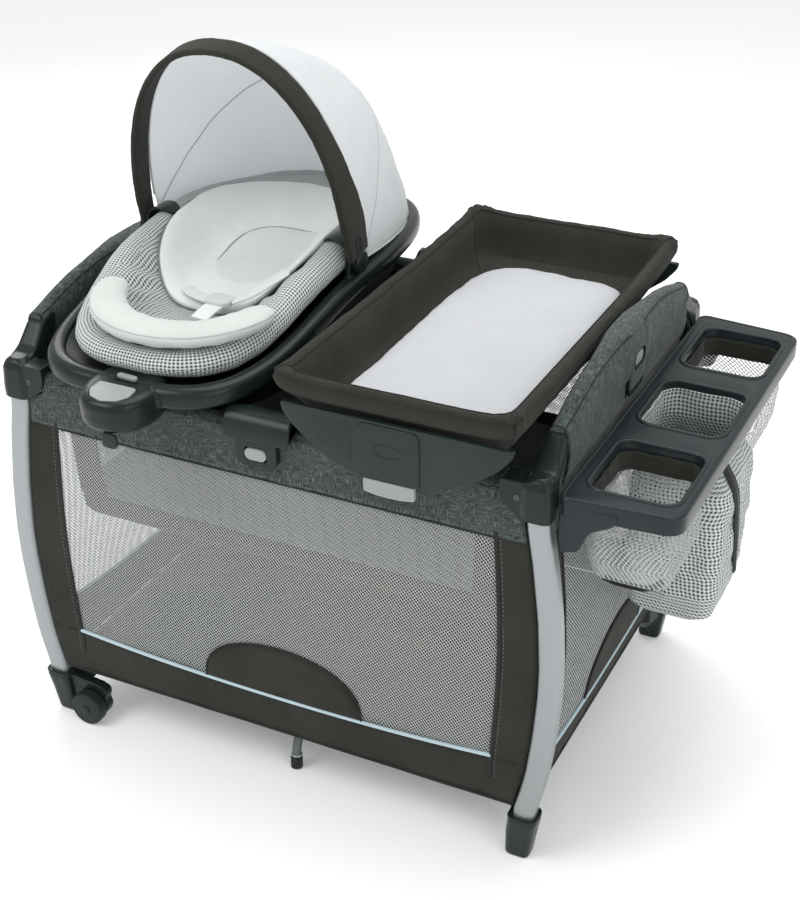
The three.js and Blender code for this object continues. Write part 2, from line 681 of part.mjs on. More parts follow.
// ---------------------------------------------------------------- organizer
function makeOrganizerTray() {
  const plan = [ // corner centre x, y, radius, start angle
    [662, 317, 30, 0], [520, 348, 14, 90], [520, -348, 14, 180], [662, -317, 30, 270],
  ].flatMap((corner) => arc(...corner, 3));
  // Plan scaled about the pocket centre line, below a top that slopes down outwards
  const ring = (scale, drop) => plan.map(([x, y]) => point(
    ORGANIZER_X + (x - ORGANIZER_X) * scale, y * scale, 710 - (x - 506) * 0.08 - drop));
  const tray = loft([ring(0.965, 46), ring(0.99, 40), ring(1, 8), ring(0.985, 0)]);
  const underside = loft([ring(0.94, 60), ring(0.94, 6)]);
  const armOutline = [[514, 620], [532, 620], [556, 672], [514, 672]]; // x, z
  const arms = [337, -357].map((y) => prism(armOutline, 'y', y, y + 20));
  const holes = [-1, 0, 1].map((k) => loft(roundedRings(ORGANIZER_X, k * BAG_PITCH,
    [[70, 82, 26, 640], [74, 86, 28, 720]])));
  return cut(join(cut(tray, underside), ...arms), ...holes);
}

// Open bag. Rows run from the mouth down: [x from pocket centre, half X, half Y, z]
function makeBag(y, rows) {
  const wall = 2;
  const bottom = 2.5;
  const outer = rows.map(([x, halfX, halfY, z]) =>
    roundedRing(ORGANIZER_X + x, y, halfX, halfY, 24, z));
  const inner = rows.map(([x, halfX, halfY, z], i) => roundedRing(ORGANIZER_X + x, y,
    halfX - wall, halfY - wall, 24 - wall, i === rows.length - 1 ? z + bottom : z));
  return loft([...outer.reverse(), ...inner]);
}
const SIDE_BAG = [
  [0, 69, 81, 700], [0, 67.5, 79.5, 662], [1, 72, 86, 630],
  [1, 70, 84, 590], [0, 60, 72, 552], [0, 44, 56, 543],
];
const MIDDLE_BAG = [
  [0, 69, 81, 700], [0, 67.5, 79.5, 655], [8, 82, 92, 610],
  [8, 82, 92, 480], [6, 76, 86, 372], [4, 60, 70, 350],
];

// ---------------------------------------------------------------- materials
const fabric = (color, roughness = 0.9) => ({ color, roughness, metalness: 0 });
const FINISH = {
  plastic: { color: '#3b4343', roughness: 0.42, metalness: 0 },
  silver: { color: '#a5a8aa', roughness: 0.35, metalness: 0.8 },
  steel: { color: '#6d7072', roughness: 0.4, metalness: 0.8 },
  button: { color: '#a6aca6', roughness: 0.4, metalness: 0 },
  tyre: { color: '#2f3434', roughness: 0.6, metalness: 0 },
  organizer: { color: '#4f585a', roughness: 0.4, metalness: 0 },
  darkFabric: fabric('#3d3b37'),
  mesh: fabric('#b9bdbb'),
  white: fabric('#e6e8ee', 0.85),
  gingham: fabric('#8f9a98'),
  heather: fabric('#46504d'),
};

// ---------------------------------------------------------------- assembly
const root = new THREE.Group();

function add(name, geometry, finish) {
  geometry.computeVertexNormals();
  const mesh = new THREE.Mesh(geometry, new THREE.MeshStandardMaterial(FINISH[finish]));
  mesh.name = name;
  root.add(mesh);
}

// A piece on each of the four sides, from those of the back and right sides
function addSides(name, backPiece, rightPiece, finish) {
  add(`${name}_front`, mirrored(backPiece, 1, -1), finish);
  add(`${name}_back`, backPiece, finish);
  add(`${name}_right`, rightPiece, finish);
  add(`${name}_left`, mirrored(rightPiece, -1, 1), finish);
}

const leg = makeLeg();
const cornerCap = makeCornerCap();
const plainFoot = makeFoot(false);
const wheelFoot = makeFoot(true);
const wheel = makeWheel();
const floorTube = makeFloorTube();
const longRail = makeHalfRail(LONG_SIDE, []);
const endRail = makeHalfRail(END_SIDE, END_RAIL_BENDS);

const CORNERS = [
  ['front', 'left', -1, -1], ['front', 'right', 1, -1],
  ['back', 'right', 1, 1], ['back', 'left', -1, 1],
];
for (const [end, side, signX, signY] of CORNERS) {
  const corner = `${end}_${side}`;
  const hasWheel = side === 'left';
  const addHere = (name, piece, finish) => add(name, mirrored(piece, signX, signY), finish);
  addHere(`leg_${corner}`, leg, 'silver');
  addHere(`corner_cap_${corner}`, cornerCap, 'plastic');
  addHere(`foot_${corner}`, hasWheel ? wheelFoot : plainFoot, 'plastic');
  if (hasWheel) addHere(`wheel_${corner}`, wheel, 'tyre');
  addHere(`floor_tube_${corner}`, floorTube, 'steel');
  addHere(`${end}_rail_${side}`, longRail, 'steel');
  addHere(`${side}_rail_${end}`, endRail, 'steel');
}

addSides('latch', makeLatch(LONG_SIDE, 652, 722, LONG_BUTTON_BOTTOM),
  makeLatch(END_SIDE, 728, 812, END_BUTTON_BOTTOM), 'plastic');
addSides('latch_button', makeLatchButton(LONG_SIDE, LONG_BUTTON_BOTTOM),
  makeLatchButton(END_SIDE, END_BUTTON_BOTTOM), 'button');
add('hub', makeHub(), 'plastic');
add('support_leg_front', makeSupportLeg(), 'steel');
add('support_leg_back', mirrored(makeSupportLeg(), -1, -1), 'steel');
addSides('wall', makeLongWall(), makeEndWall(), 'mesh');
add('floor_panel', makeFloorPanel(), 'darkFabric');
add('bassinet', makeBassinet(), 'heather');
add('mattress', makeMattress(), 'heather');
add('seat_base', makeSeatBase(), 'plastic');
add('seat_cushion', makeCushion(), 'gingham');
add('body_pillow', makePillow(), 'white');
add('seat_release_button', makeSeatButton(), 'button');
add('vibration_switch', makeVibrationSwitch(), 'button');
add('canopy_bow', makeCanopyBow(), 'darkFabric');
add('canopy_cover', makeCanopyCover(), 'white');
add('changer_tray', makeChangerTray(), 'darkFabric');
add('changer_pad', makeChangerPad(), 'white');
add('changer_frame', makeChangerFrame(), 'plastic');
add('changer_tab_front', makeChangerTab(), 'button');
add('changer_tab_back', toChangerBack(makeChangerTab()), 'button');
add('organizer_tray', makeOrganizerTray(), 'organizer');
add('organizer_bag_front', makeBag(-BAG_PITCH, SIDE_BAG), 'mesh');
add('organizer_bag_middle', makeBag(0, MIDDLE_BAG), 'gingham');
add('organizer_bag_back', makeBag(BAG_PITCH, SIDE_BAG), 'mesh');

export default root;
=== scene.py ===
# Looks of a travel play yard: detailed meshes, soft goods and finishes round the CAD frame.
# The yard stands on z = 0, centred on the z axis. Its length runs along x (left is -x) and its
# width along y (front is -y). The seat with its canopy hangs over the left half, the changer
# over the right half, and the organizer outside the right end; the bassinet fills the inside.
import bmesh
import bpy
import math
import random
import numpy as np
from math import pi
from mathutils import Matrix, Vector, noise


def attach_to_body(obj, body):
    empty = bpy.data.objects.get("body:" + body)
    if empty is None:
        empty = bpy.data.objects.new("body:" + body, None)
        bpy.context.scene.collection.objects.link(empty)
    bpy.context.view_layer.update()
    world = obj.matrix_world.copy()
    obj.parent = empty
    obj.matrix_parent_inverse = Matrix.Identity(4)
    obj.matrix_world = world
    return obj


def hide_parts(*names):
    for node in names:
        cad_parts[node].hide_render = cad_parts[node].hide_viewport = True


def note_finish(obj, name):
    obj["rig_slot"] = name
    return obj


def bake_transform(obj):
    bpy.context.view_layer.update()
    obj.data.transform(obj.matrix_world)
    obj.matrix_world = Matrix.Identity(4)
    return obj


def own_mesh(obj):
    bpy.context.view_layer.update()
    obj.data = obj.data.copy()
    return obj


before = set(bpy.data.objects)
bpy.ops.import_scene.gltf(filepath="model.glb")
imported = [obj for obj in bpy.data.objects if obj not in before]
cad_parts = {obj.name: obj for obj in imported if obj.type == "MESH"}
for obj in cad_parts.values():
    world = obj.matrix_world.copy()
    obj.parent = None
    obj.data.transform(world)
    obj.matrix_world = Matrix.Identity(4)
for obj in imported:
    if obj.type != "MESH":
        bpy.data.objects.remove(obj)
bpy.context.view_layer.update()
random.seed(7)
MM = 0.001
COL = bpy.context.scene.collection
X, Y, Z = (1, 0, 0), (0, 1, 0), (0, 0, 1)
FRONT_BACK = (("front", -1), ("back", 1))
LEFT_RIGHT = (("left", -1), ("right", 1))
RIGHT_LEFT = LEFT_RIGHT[::-1]


# ------------------------------------------------------------------ materials
def srgb(color, shift=0):
    """Linear RGBA of an 8-bit colour, each channel moved by shift."""
    def linear(value):
        value = min(255, max(0, value + shift)) / 255
        return ((value + 0.055) / 1.055) ** 2.4 if value > 0.04045 else value / 12.92
    return tuple(linear(value) for value in color) + (1.0,)


class Shader:
    """A material and short ways to add nodes to it; most return an output socket."""
    def __init__(self, name):
        self.material = bpy.data.materials.new(name)
        self.material.use_nodes = True
        self.tree = self.material.node_tree
        self.tree.nodes.clear()

    def node(self, kind, **settings):
        node = self.tree.nodes.new(kind)
        for key, value in settings.items():
            setattr(node, key, value)
        return node

    def feed(self, socket, value):
        """Sets a socket to a number or colour, or links an output to it."""
        if isinstance(value, (int, float, tuple)):
            socket.default_value = value
        else:
            self.tree.links.new(value, socket)

    def op(self, operation, *values):
        node = self.node("ShaderNodeMath", operation=operation)
        for i, value in enumerate(values):
            self.feed(node.inputs[i], value)
        return node.outputs[0]

    def add(self, first, second):
        return self.op("ADD", first, second)

    def mul(self, first, second):
        return self.op("MULTIPLY", first, second)

    def triangle(self, value):
        """A wave of period 1 between 0 and 1."""
        fraction = self.op("FRACT", value)
        return self.op("ABSOLUTE", self.op("SUBTRACT", self.mul(fraction, 2.0), 1.0))

    def mix(self, factor, first, second):
        node = self.node("ShaderNodeMix", data_type="RGBA")
        for i, value in ((0, factor), (6, first), (7, second)):
            self.feed(node.inputs[i], value)
        return node.outputs[2]

    def mix_shader(self, factor, first, second):
        node = self.node("ShaderNodeMixShader")
        for i, value in enumerate((factor, first, second)):
            self.feed(node.inputs[i], value)
        return node.outputs[0]

    def out(self, shader):
        node = self.node("ShaderNodeOutputMaterial")
        self.feed(node.inputs[0], shader)
        return self.material

    def coord(self, kind="Object"):
        return self.node("ShaderNodeTexCoord").outputs[kind]

    def split(self, vector):
        node = self.node("ShaderNodeSeparateXYZ")
        self.feed(node.inputs[0], vector)
        return node.outputs[0], node.outputs[1]

    def noise(self, vector, scale, detail=2.0, rough=0.5, stretch=None):
        if stretch:
            mapping = self.node("ShaderNodeMapping")
            mapping.inputs["Scale"].default_value = stretch
            self.feed(mapping.inputs[0], vector)
            vector = mapping.outputs[0]
        node = self.node("ShaderNodeTexNoise")
        for key, value in (("Scale", scale), ("Detail", detail), ("Roughness", rough),
                           ("Vector", vector)):
            self.feed(node.inputs[key], value)
        return node.outputs[0]

    def remap(self, value, low, high):
        node = self.node("ShaderNodeMapRange")
        for i, item in enumerate((value, low, high)):
            self.feed(node.inputs[i], item)
        return node.outputs[0]

    def bump(self, height, strength, dist=0.001):
        node = self.node("ShaderNodeBump")
        for key, value in (("Strength", strength), ("Distance", dist), ("Height", height)):
            self.feed(node.inputs[key], value)
        return node.outputs[0]

    def pbr(self, color, rough, metal=0.0, normal=None, spec=0.5, sheen=0.0):
        node = self.node("ShaderNodeBsdfPrincipled")
        values = {"Base Color": color, "Roughness": rough, "Metallic": metal,
                  "Specular IOR Level": spec * 0.5, "Sheen Weight": sheen,
                  "Sheen Roughness": 0.5}
        for key, value in values.items():
            self.feed(node.inputs[key], value)
        if normal is not None:
            self.feed(node.inputs["Normal"], normal)
        return node.outputs[0]


def plastic(name, color, rough=0.38, grain=0.12):
    mat = Shader(name)
    coord = mat.coord()
    fine = mat.noise(coord, scale=900, detail=2)
    cloudy = mat.noise(coord, scale=6, detail=3)
    shade = mat.mix(mat.remap(cloudy, 0.3, 0.75), srgb(color, -3), srgb(color, 4))
    varied = mat.op("MULTIPLY_ADD", cloudy, 0.14, rough - 0.07)
    normal = mat.bump(fine, strength=grain, dist=0.0004)
    return mat.out(mat.pbr(shade, varied, normal=normal))


def metal(name, color, rough):
    """Drawn tube with streaks along z."""
    mat = Shader(name)
    streak = mat.noise(mat.coord(), scale=60, detail=3, rough=0.6, stretch=(14, 14, 0.5))
    varied = mat.op("MULTIPLY_ADD", streak, 0.16, rough - 0.08)
    normal = mat.bump(streak, strength=0.04, dist=0.0004)
    return mat.out(mat.pbr(srgb(color), varied, metal=0.78, normal=normal))


def fabric(name, color, rough, weave, var, sheen, wrinkle=0.25):
    """Woven cloth: weave is the thread pitch in mm, var the spread of the colour."""
    mat = Shader(name)
    x, y = mat.split(mat.coord("UV"))
    wave_number = 2 * pi / (weave * MM)
    wave_x = mat.op("SINE", mat.mul(x, wave_number))
    wave_y = mat.op("SINE", mat.mul(y, wave_number))
    threads = mat.mul(wave_x, wave_y)
    coord = mat.coord()
    big = mat.noise(coord, scale=9, detail=4, rough=0.55)
    fine = mat.noise(coord, scale=260, detail=3)
    height = mat.add(mat.mul(threads, 0.35), mat.add(fine, mat.mul(big, 6 * wrinkle)))
    blend = mat.add(mat.mul(mat.remap(big, 0.35, 0.65), 0.7),
                    mat.mul(mat.remap(fine, 0.3, 0.7), 0.3))
    shade = mat.mix(blend, srgb(color, -var), srgb(color, var))
    normal = mat.bump(height, strength=0.35, dist=0.0012)
    return mat.out(mat.pbr(shade, rough, normal=normal, spec=0.25, sheen=sheen))


def heather(name):
    """Dark cloth flecked with pale threads in two directions."""
    mat = Shader(name)
    coord = mat.coord("UV")
    weft = mat.noise(coord, scale=620, stretch=(1.0, 0.10, 1.0))
    warp = mat.noise(coord, scale=620, stretch=(0.09, 1.0, 1.0))
    patchy = mat.noise(coord, scale=22, detail=3)
    fleck = mat.op("MAXIMUM", mat.remap(weft, 0.46, 0.80),
                   mat.mul(mat.remap(warp, 0.46, 0.80), 0.9))
    fleck = mat.mul(fleck, mat.op("MULTIPLY_ADD", patchy, 1.1, 0.34 + 0.2))
    shade = mat.mix(fleck, srgb((34, 43, 41)), srgb((106, 116, 112)))
    normal = mat.bump(mat.add(weft, warp), strength=0.3, dist=0.0008)
    return mat.out(mat.pbr(shade, 0.9, normal=normal, spec=0.25, sheen=0.15))


def gingham(name, pitch):
    """Checked cloth; pitch is the repeat in mm."""
    mat = Shader(name)
    x, y = mat.split(mat.coord("UV"))

    def stripe(along):
        return mat.remap(mat.triangle(mat.mul(along, 1.0 / (pitch * MM))), 0.42, 0.58)

    across, down = stripe(x), stripe(y)
    both = mat.mul(across, down)
    either = mat.add(across, down)
    value = mat.add(mat.mul(either, 0.36), mat.mul(both, 0.28))
    soft = mat.noise(mat.coord(), scale=180, detail=3)
    shade = mat.mix(value, srgb((214, 219, 218)), srgb((40, 54, 53)))
    shade = mat.mix(mat.mul(mat.remap(soft, 0.3, 0.8), 0.12), shade, srgb((90, 100, 98)))
    normal = mat.bump(mat.add(soft, mat.mul(value, 0.3)), strength=0.3)
    return mat.out(mat.pbr(shade, 0.93, normal=normal, spec=0.2, sheen=0.15))


def net(name, pitch, thread, color):
    """Knitted net: slanted threads in two directions, clear between them.
    pitch is in mm, thread the share of the pitch that a thread covers."""
    mat = Shader(name)
    x, y = mat.split(mat.coord("UV"))
    per_pitch = 1.0 / (pitch * MM)
    rising = mat.mul(mat.add(x, mat.mul(y, 0.8)), per_pitch)
    falling = mat.mul(mat.op("SUBTRACT", mat.mul(x, 0.9), y), per_pitch)
    rising = mat.triangle(rising)
    falling = mat.triangle(falling)
    hole = mat.mul(mat.op("LESS_THAN", rising, 1 - thread),
                   mat.op("LESS_THAN", falling, 1 - thread * 0.62))
    fine = mat.noise(mat.coord(), scale=400)
    shade = mat.mix(mat.remap(fine, 0.3, 0.8), srgb(color), srgb(color, -22))
    body = mat.pbr(shade, 0.85, spec=0.2, sheen=0.1)
    clear = mat.node("ShaderNodeBsdfTransparent").outputs[0]
    return mat.out(mat.mix_shader(hole, body, clear))


def pale_cloth(name, color, through=0.05):
    """Soft pale cloth; through is the share of light that passes."""
    mat = Shader(name)
    coord = mat.coord()
    big = mat.noise(coord, scale=7, detail=4)
    fine = mat.noise(coord, scale=420, detail=3)
    shade = mat.mix(mat.remap(big, 0.35, 0.7), srgb(color, -5), srgb(color))
    height = mat.add(mat.mul(big, 5), mat.mul(fine, 0.5))
    normal = mat.bump(height, strength=0.22, dist=0.002)
    body = mat.pbr(shade, 0.85, normal=normal, spec=0.25, sheen=0.2)
    glow = mat.node("ShaderNodeBsdfTranslucent")
    glow.inputs[0].default_value = srgb(color)
    return mat.out(mat.mix_shader(through, body, glow.outputs[0]))


FINISH = {
    "plastic": ("dark_plastic", plastic("dark_plastic", (28, 36, 36), rough=0.28)),
    "ring": ("dark_plastic", plastic("ring_plastic", (26, 33, 32), rough=0.27)),
    "clip": ("dark_plastic", plastic("clip_plastic", (34, 44, 42))),
    "top": ("organizer_plastic", plastic("organizer_plastic", (33, 41, 43), rough=0.31)),
    "black": ("dark_plastic", plastic("black_plastic", (30, 33, 34), rough=0.5)),
    "wheel": ("wheel_plastic", plastic("wheel_plastic", (34, 41, 40), rough=0.45)),
    "button": ("light_plastic",
               plastic("light_plastic", (146, 152, 148), rough=0.4, grain=0.05)),
    # the raised button lines are real, their lighter plastic is a painted highlight
    "button_rim_highlight": ("light_plastic",
                   plastic("light_plastic_rim_highlight", (166, 172, 167), rough=0.35, grain=0.05)),
    "silver": ("leg_tube", metal("leg_tube", (156, 161, 162), rough=0.34)),
    "steel": ("inner_tube", metal("inner_tube", (104, 110, 112), rough=0.36)),
    "screw": ("inner_tube", metal("screw_steel", (92, 96, 98), rough=0.3)),
    "dark": ("dark_fabric", fabric("dark_fabric", (48, 48, 43),
                                   rough=0.9, weave=0.9, var=5, sheen=0.06)),
    "binding": ("dark_fabric", fabric("binding_fabric", (40, 42, 40),
                                      rough=0.9, weave=0.8, var=4, sheen=0.1)),
    "floor": ("dark_fabric", fabric("floor_fabric", (38, 42, 40),
                                    rough=0.92, weave=1.0, var=5, sheen=0.05)),
    "mattress": ("dark_fabric", fabric("mattress_fabric", (50, 60, 55), rough=0.75,
                                       weave=0.8, var=4, sheen=0.1, wrinkle=0.12)),
    "heather": ("heather_fabric", heather("heather_fabric")),
    "gingham": ("gingham_fabric", gingham("gingham_fabric", pitch=5.7)),
    "net": ("mesh_net", net("mesh_net", pitch=6.4, thread=0.29, color=(188, 192, 190))),
    "net_bag": ("mesh_net", net("bag_net", pitch=8.0, thread=0.24, color=(200, 204, 202))),
    "net_bassinet": ("heather_fabric",
                     net("bassinet_net", pitch=5.4, thread=0.30, color=(150, 155, 152))),
    "gingham_bag": ("gingham_fabric", gingham("gingham_bag_fabric", pitch=7.2)),
    "piping": ("white_fabric", fabric("piping_fabric", (186, 206, 214),
                                      rough=0.8, weave=0.8, var=4, sheen=0.1)),
    "white": ("white_fabric", pale_cloth("white_fabric", (238, 240, 241), through=0.5)),
    "pad": ("white_fabric", pale_cloth("pad_fabric", (192, 194, 197))),
    "insert": ("white_fabric", pale_cloth("insert_fabric", (230, 233, 231))),
    "insert_panel": ("white_fabric", pale_cloth("insert_panel_fabric", (217, 223, 221))),
    "plush": ("white_fabric", pale_cloth("plush_fabric", (206, 210, 206), through=0.06)),
    "seam": ("white_fabric", fabric("seam_thread", (176, 180, 180),
                                    rough=0.9, weave=0.8, var=3, sheen=0.1)),
    "seam_dark": ("dark_fabric", fabric("seam_thread_dark", (36, 37, 35),
                                        rough=0.9, weave=0.8, var=3, sheen=0.1)),
    "stitch": ("dark_fabric", fabric("stitch_thread", (128, 134, 130),
                                     rough=0.9, weave=0.8, var=3, sheen=0.1)),
}


# ------------------------------------------------------------------ points, paths and outlines
def vec(*values):
    return np.array(values, float)


def points(x, y, z):
    """One array of points from coordinates that broadcast together."""
    return np.array(np.stack(np.broadcast_arrays(x, y, z), -1), float)


def turn(count):
    """Angles evenly round a circle."""
    return 2 * pi * np.arange(count) / count


def signed_power(value, exponent):
    return np.sign(value) * np.abs(value) ** exponent


def superellipse(angle, half_x, half_y, power):
    """x and y round a superellipse; power may be a (front, back) pair."""
    cos, sin = np.cos(angle), np.sin(angle)
    if isinstance(power, tuple):
        power = np.where(sin < 0, *power)
    return signed_power(cos, 2 / power) * half_x, signed_power(sin, 2 / power) * half_y


def blur(values, width, reach=2.0):
    """A bell-shaped running mean over width values; a reach of 0 weighs them alike."""
    kernel = np.exp(-np.linspace(-reach, reach, width) ** 2)
    return np.convolve(np.pad(values, width // 2, mode="edge"), kernel / kernel.sum(), "valid")


def smooth_curve(table, stations=160, width=17):
    """A function through (place, value) pairs, blurred so that the knots do not show."""
    table = np.array(table, float)
    place = np.linspace(table[0, 0], table[-1, 0], stations)
    value = blur(np.interp(place, table[:, 0], table[:, 1]), width)
    return lambda at: np.interp(at, place, value)


def path_lengths(path):
    steps = np.linalg.norm(np.diff(path, axis=0), axis=1)
    return np.concatenate([[0], np.cumsum(steps)])


def at_length(path, lengths, where):
    return np.stack([np.interp(where, lengths, path[:, k]) for k in range(3)], -1)


def resample(path, count):
    lengths = path_lengths(path)
    return at_length(path, lengths, np.linspace(0, lengths[-1], count))


def even_loop(outline, z, count):
    """A closed (x, y) outline at height z as count even points."""
    ring = points(outline[:, 0], outline[:, 1], z)
    return resample(np.concatenate([ring, ring[:1]]), count + 1)[:-1]


def densify(loop, step, whole=round):
    """Splits each side of a closed loop into pieces about step long."""
    out = []
    for i in range(len(loop)):
        start, end = loop[i], loop[(i + 1) % len(loop)]
        pieces = max(1, int(whole(np.linalg.norm(end - start) / step)))
        out += [start + (end - start) * j / pieces for j in range(pieces)]
    return np.array(out)


def smooth_path(knots, count):
    """Catmull-Rom curve through an open row of points."""
    knots = np.asarray(knots, float)
    spans = len(knots) - 1
    ends = 2 * knots[:1] - knots[1:2], 2 * knots[-1:] - knots[-2:-1]
    padded = np.concatenate([ends[0], knots, ends[1]])
    out = []
    for place in np.linspace(0, spans, count):
        i = min(int(place), spans - 1)
        t = place - i
        before, start, end, after = padded[i:i + 4]
        out.append(0.5 * (2 * start + (end - before) * t
                          + (2 * before - 5 * start + 4 * end - after) * t * t
                          + (3 * start - before - 3 * end + after) * t ** 3))
    return np.array(out)


def frames(path, up=Z, closed=False):
    """Side and up directions at each point of a path."""
    if closed:
        tangents = np.roll(path, -1, 0) - np.roll(path, 1, 0)
    else:
        tangents = np.gradient(path, axis=0)
    tangents /= np.linalg.norm(tangents, axis=1)[:, None]
    sides, ups = [], []
    for tangent in tangents:
        side = np.cross(tangent, up)
        if np.linalg.norm(side) < 1e-6:
            side = np.cross(tangent, X)
        side /= np.linalg.norm(side)
        sides.append(side)
        ups.append(np.cross(side, tangent))
    return np.array(sides), np.array(ups)


def circle(radius, count=12, radius_y=None):
    """A circle, or an ellipse when radius_y is given."""
    angle = turn(count)
    return np.stack([radius * np.cos(angle), (radius_y or radius) * np.sin(angle)], 1)


def rounded_rect(half_x, half_y, radius, seg=6, mid_x=0.0, mid_y=0.0):
    out = []
    for sign_x, sign_y, start in ((1, 1, 0), (-1, 1, 90), (-1, -1, 180), (1, -1, 270)):
        corner_x = mid_x + sign_x * half_x - sign_x * radius
        corner_y = mid_y + sign_y * half_y - sign_y * radius
        for i in range(seg + 1):
            angle = math.radians(start + 90 * i / seg)
            out.append((corner_x + radius * math.cos(angle), corner_y + radius * math.sin(angle)))
    return np.array(out)


def level_ring(half_x, half_y, radius, z, mid_x=0.0, mid_y=0.0, seg=8):
    """A rounded rectangle lying at height z."""
    outline = rounded_rect(half_x, half_y, radius, seg, mid_x, mid_y)
    return points(outline[:, 0], outline[:, 1], z)


def round_poly(corners, radii, seg=6):
    """Closed polygon with rounded corners."""
    corners = np.asarray(corners, float)
    count = len(corners)
    out = []
    for i, radius in enumerate(np.broadcast_to(radii, count)):
        corner, before, after = corners[i], corners[i - 1], corners[(i + 1) % count]
        room_before, room_after = np.linalg.norm(before - corner), np.linalg.norm(after - corner)
        to_before, to_after = (before - corner) / room_before, (after - corner) / room_after
        angle = math.acos(np.clip(to_before @ to_after, -1, 1))
        if angle > pi - 0.05:
            out.append(corner)
            continue
        trim = min(radius / math.tan(angle / 2), 0.48 * room_before, 0.48 * room_after)
        start, end = corner + to_before * trim, corner + to_after * trim
        for k in range(seg + 1):
            t = k / seg
            out.append((1 - t) ** 2 * start + 2 * t * (1 - t) * corner + t * t * end)
    return np.array(out)


def lumps(pts, size, seed, octaves=3):
    """Smooth noise per point; size is the width of a lump in mm."""
    out = [noise.fractal(Vector((x / size + seed, y / size - seed, z / size + 2 * seed)),
                         0.5, 2.0, octaves) for x, y, z in pts.reshape(-1, 3)]
    return np.array(out).reshape(pts.shape[:-1])


# ------------------------------------------------------------------ mesh helpers
def set_finish(obj, finish):
    obj.data.materials.clear()
    obj.data.materials.append(FINISH[finish][1])


def set_sharp(obj, angle):
    obj.data.set_sharp_from_angle(angle=math.radians(angle))


def mesh_object(name, verts, faces, finish, uv=None, angle=40):
    """A smooth-shaded mesh from millimetre points; uv holds one pair per face corner."""
    mesh = bpy.data.meshes.new(name)
    mesh.from_pydata((np.asarray(verts, float) * MM).tolist(), [],
                     [tuple(int(i) for i in face) for face in faces])
    if uv is not None:
        layer = mesh.uv_layers.new(name="UVMap")
        layer.data.foreach_set("uv", (np.asarray(uv, float) * MM).astype(np.float32).ravel())
    slot, material = FINISH[finish]
    mesh.materials.append(material)
    mesh.polygons.foreach_set("use_smooth", [True] * len(mesh.polygons))
    mesh.update()
    mesh.set_sharp_from_angle(angle=math.radians(angle))
    obj = bpy.data.objects.new(name, mesh)
    COL.objects.link(obj)
    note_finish(obj, slot)
    return obj


def fix_normals(obj, weld=False):
    mesh = bmesh.new()
    mesh.from_mesh(obj.data)
    if weld:
        bmesh.ops.remove_doubles(mesh, verts=mesh.verts, dist=1e-6)
    bmesh.ops.recalc_face_normals(mesh, faces=mesh.faces)
    mesh.to_mesh(obj.data)
    mesh.free()


def surface(name, pts, finish, wrap=False, loop=False, caps=True, uv=None, angle=40):
    """A skin over (rows, columns, 3) points. wrap joins the last column to the first, loop the
    last row to the first; caps close the ends of a wrapped skin. uv is (u grid, v per row)."""
    pts = np.asarray(pts, float)
    rows, cols = pts.shape[:2]
    if uv is None:
        widths = np.linalg.norm(np.diff(np.concatenate([pts, pts[:, :1]], 1), axis=1), axis=2)
        along = np.concatenate([np.zeros((rows, 1)), np.cumsum(widths, 1)], 1)
        along = np.concatenate([along, along[:1]], 0)
        heights = np.linalg.norm(np.diff(np.concatenate([pts, pts[:1]], 0), axis=0), axis=2)
        down = np.concatenate([[0], np.cumsum(heights.mean(1))])
    else:
        along, down = uv
    faces, uvs = [], []
    for i in range(rows if loop else rows - 1):
        i2 = (i + 1) % rows
        for j in range(cols if wrap else cols - 1):
            j2 = (j + 1) % cols
            faces.append((i * cols + j, i * cols + j2, i2 * cols + j2, i2 * cols + j))
            uvs += [(along[i, j], down[i]), (along[i, j + 1], down[i]),
                    (along[i + 1, j + 1], down[i + 1]), (along[i + 1, j], down[i + 1])]
    verts = pts.reshape(-1, 3)
    if wrap and not loop and caps:
        for row in (0, rows - 1):
            middle = pts[row].mean(0)
            for j in range(cols):
                j2 = (j + 1) % cols
                first, second = (j2, j) if row == 0 else (j, j2)
                faces.append((len(verts), row * cols + first, row * cols + second))
                uvs += [middle[:2], pts[row, first, :2], pts[row, second, :2]]
            verts = np.concatenate([verts, middle[None]])
    obj = mesh_object(name, verts, faces, finish, uvs, angle)
    fix_normals(obj)
    return obj


def thick(obj, thickness, offset=0.0):
    mod = obj.modifiers.new("thickness", "SOLIDIFY")
    mod.thickness = thickness * MM
    mod.offset = offset
    return obj


def bevel(obj, width, angle):
    mod = obj.modifiers.new("edge", "BEVEL")
    mod.width = width * MM
    mod.segments = 2
    mod.limit_method = "ANGLE"
    mod.angle_limit = math.radians(angle)


def bake(obj):
    """Applies the modifiers."""
    bpy.context.view_layer.update()
    graph = bpy.context.evaluated_depsgraph_get()
    mesh = bpy.data.meshes.new_from_object(obj.evaluated_get(graph),
                                           preserve_all_data_layers=True, depsgraph=graph)
    old = obj.data
    obj.modifiers.clear()
    obj.data = mesh
    mesh.name = old.name
    bpy.data.meshes.remove(old)


def drop(*objs):
    for obj in objs:
        bpy.data.objects.remove(obj)


def cut(obj, cutter, operation="DIFFERENCE"):
    mod = obj.modifiers.new("cut", "BOOLEAN")
    mod.operation = operation
    mod.object = cutter
    mod.solver = "EXACT"
    bake(obj)
    drop(cutter)


def join(name, objs):
    """One object from several, with their material slots kept."""
    base = objs[0]
    with bpy.context.temp_override(active_object=base, selected_editable_objects=objs,
                                   selected_objects=objs, object=base):
        bpy.ops.object.join()
    base.name = name
    base.data.name = name
    return base


def sweep(name, path, profile, finish, up=Z, closed=False):
    """A closed outline of (side, up) pairs, or one outline per point, carried along a path."""
    path = np.asarray(path, float)
    profile = np.asarray(profile, float)
    sides, ups = frames(path, up, closed)
    pts = path[:, None] + profile[..., :1] * sides[:, None] + profile[..., 1:] * ups[:, None]
    return surface(name, pts, finish, wrap=True, loop=closed)


def tube(name, path, radius, finish, count):
    return sweep(name, path, circle(radius, count), finish)


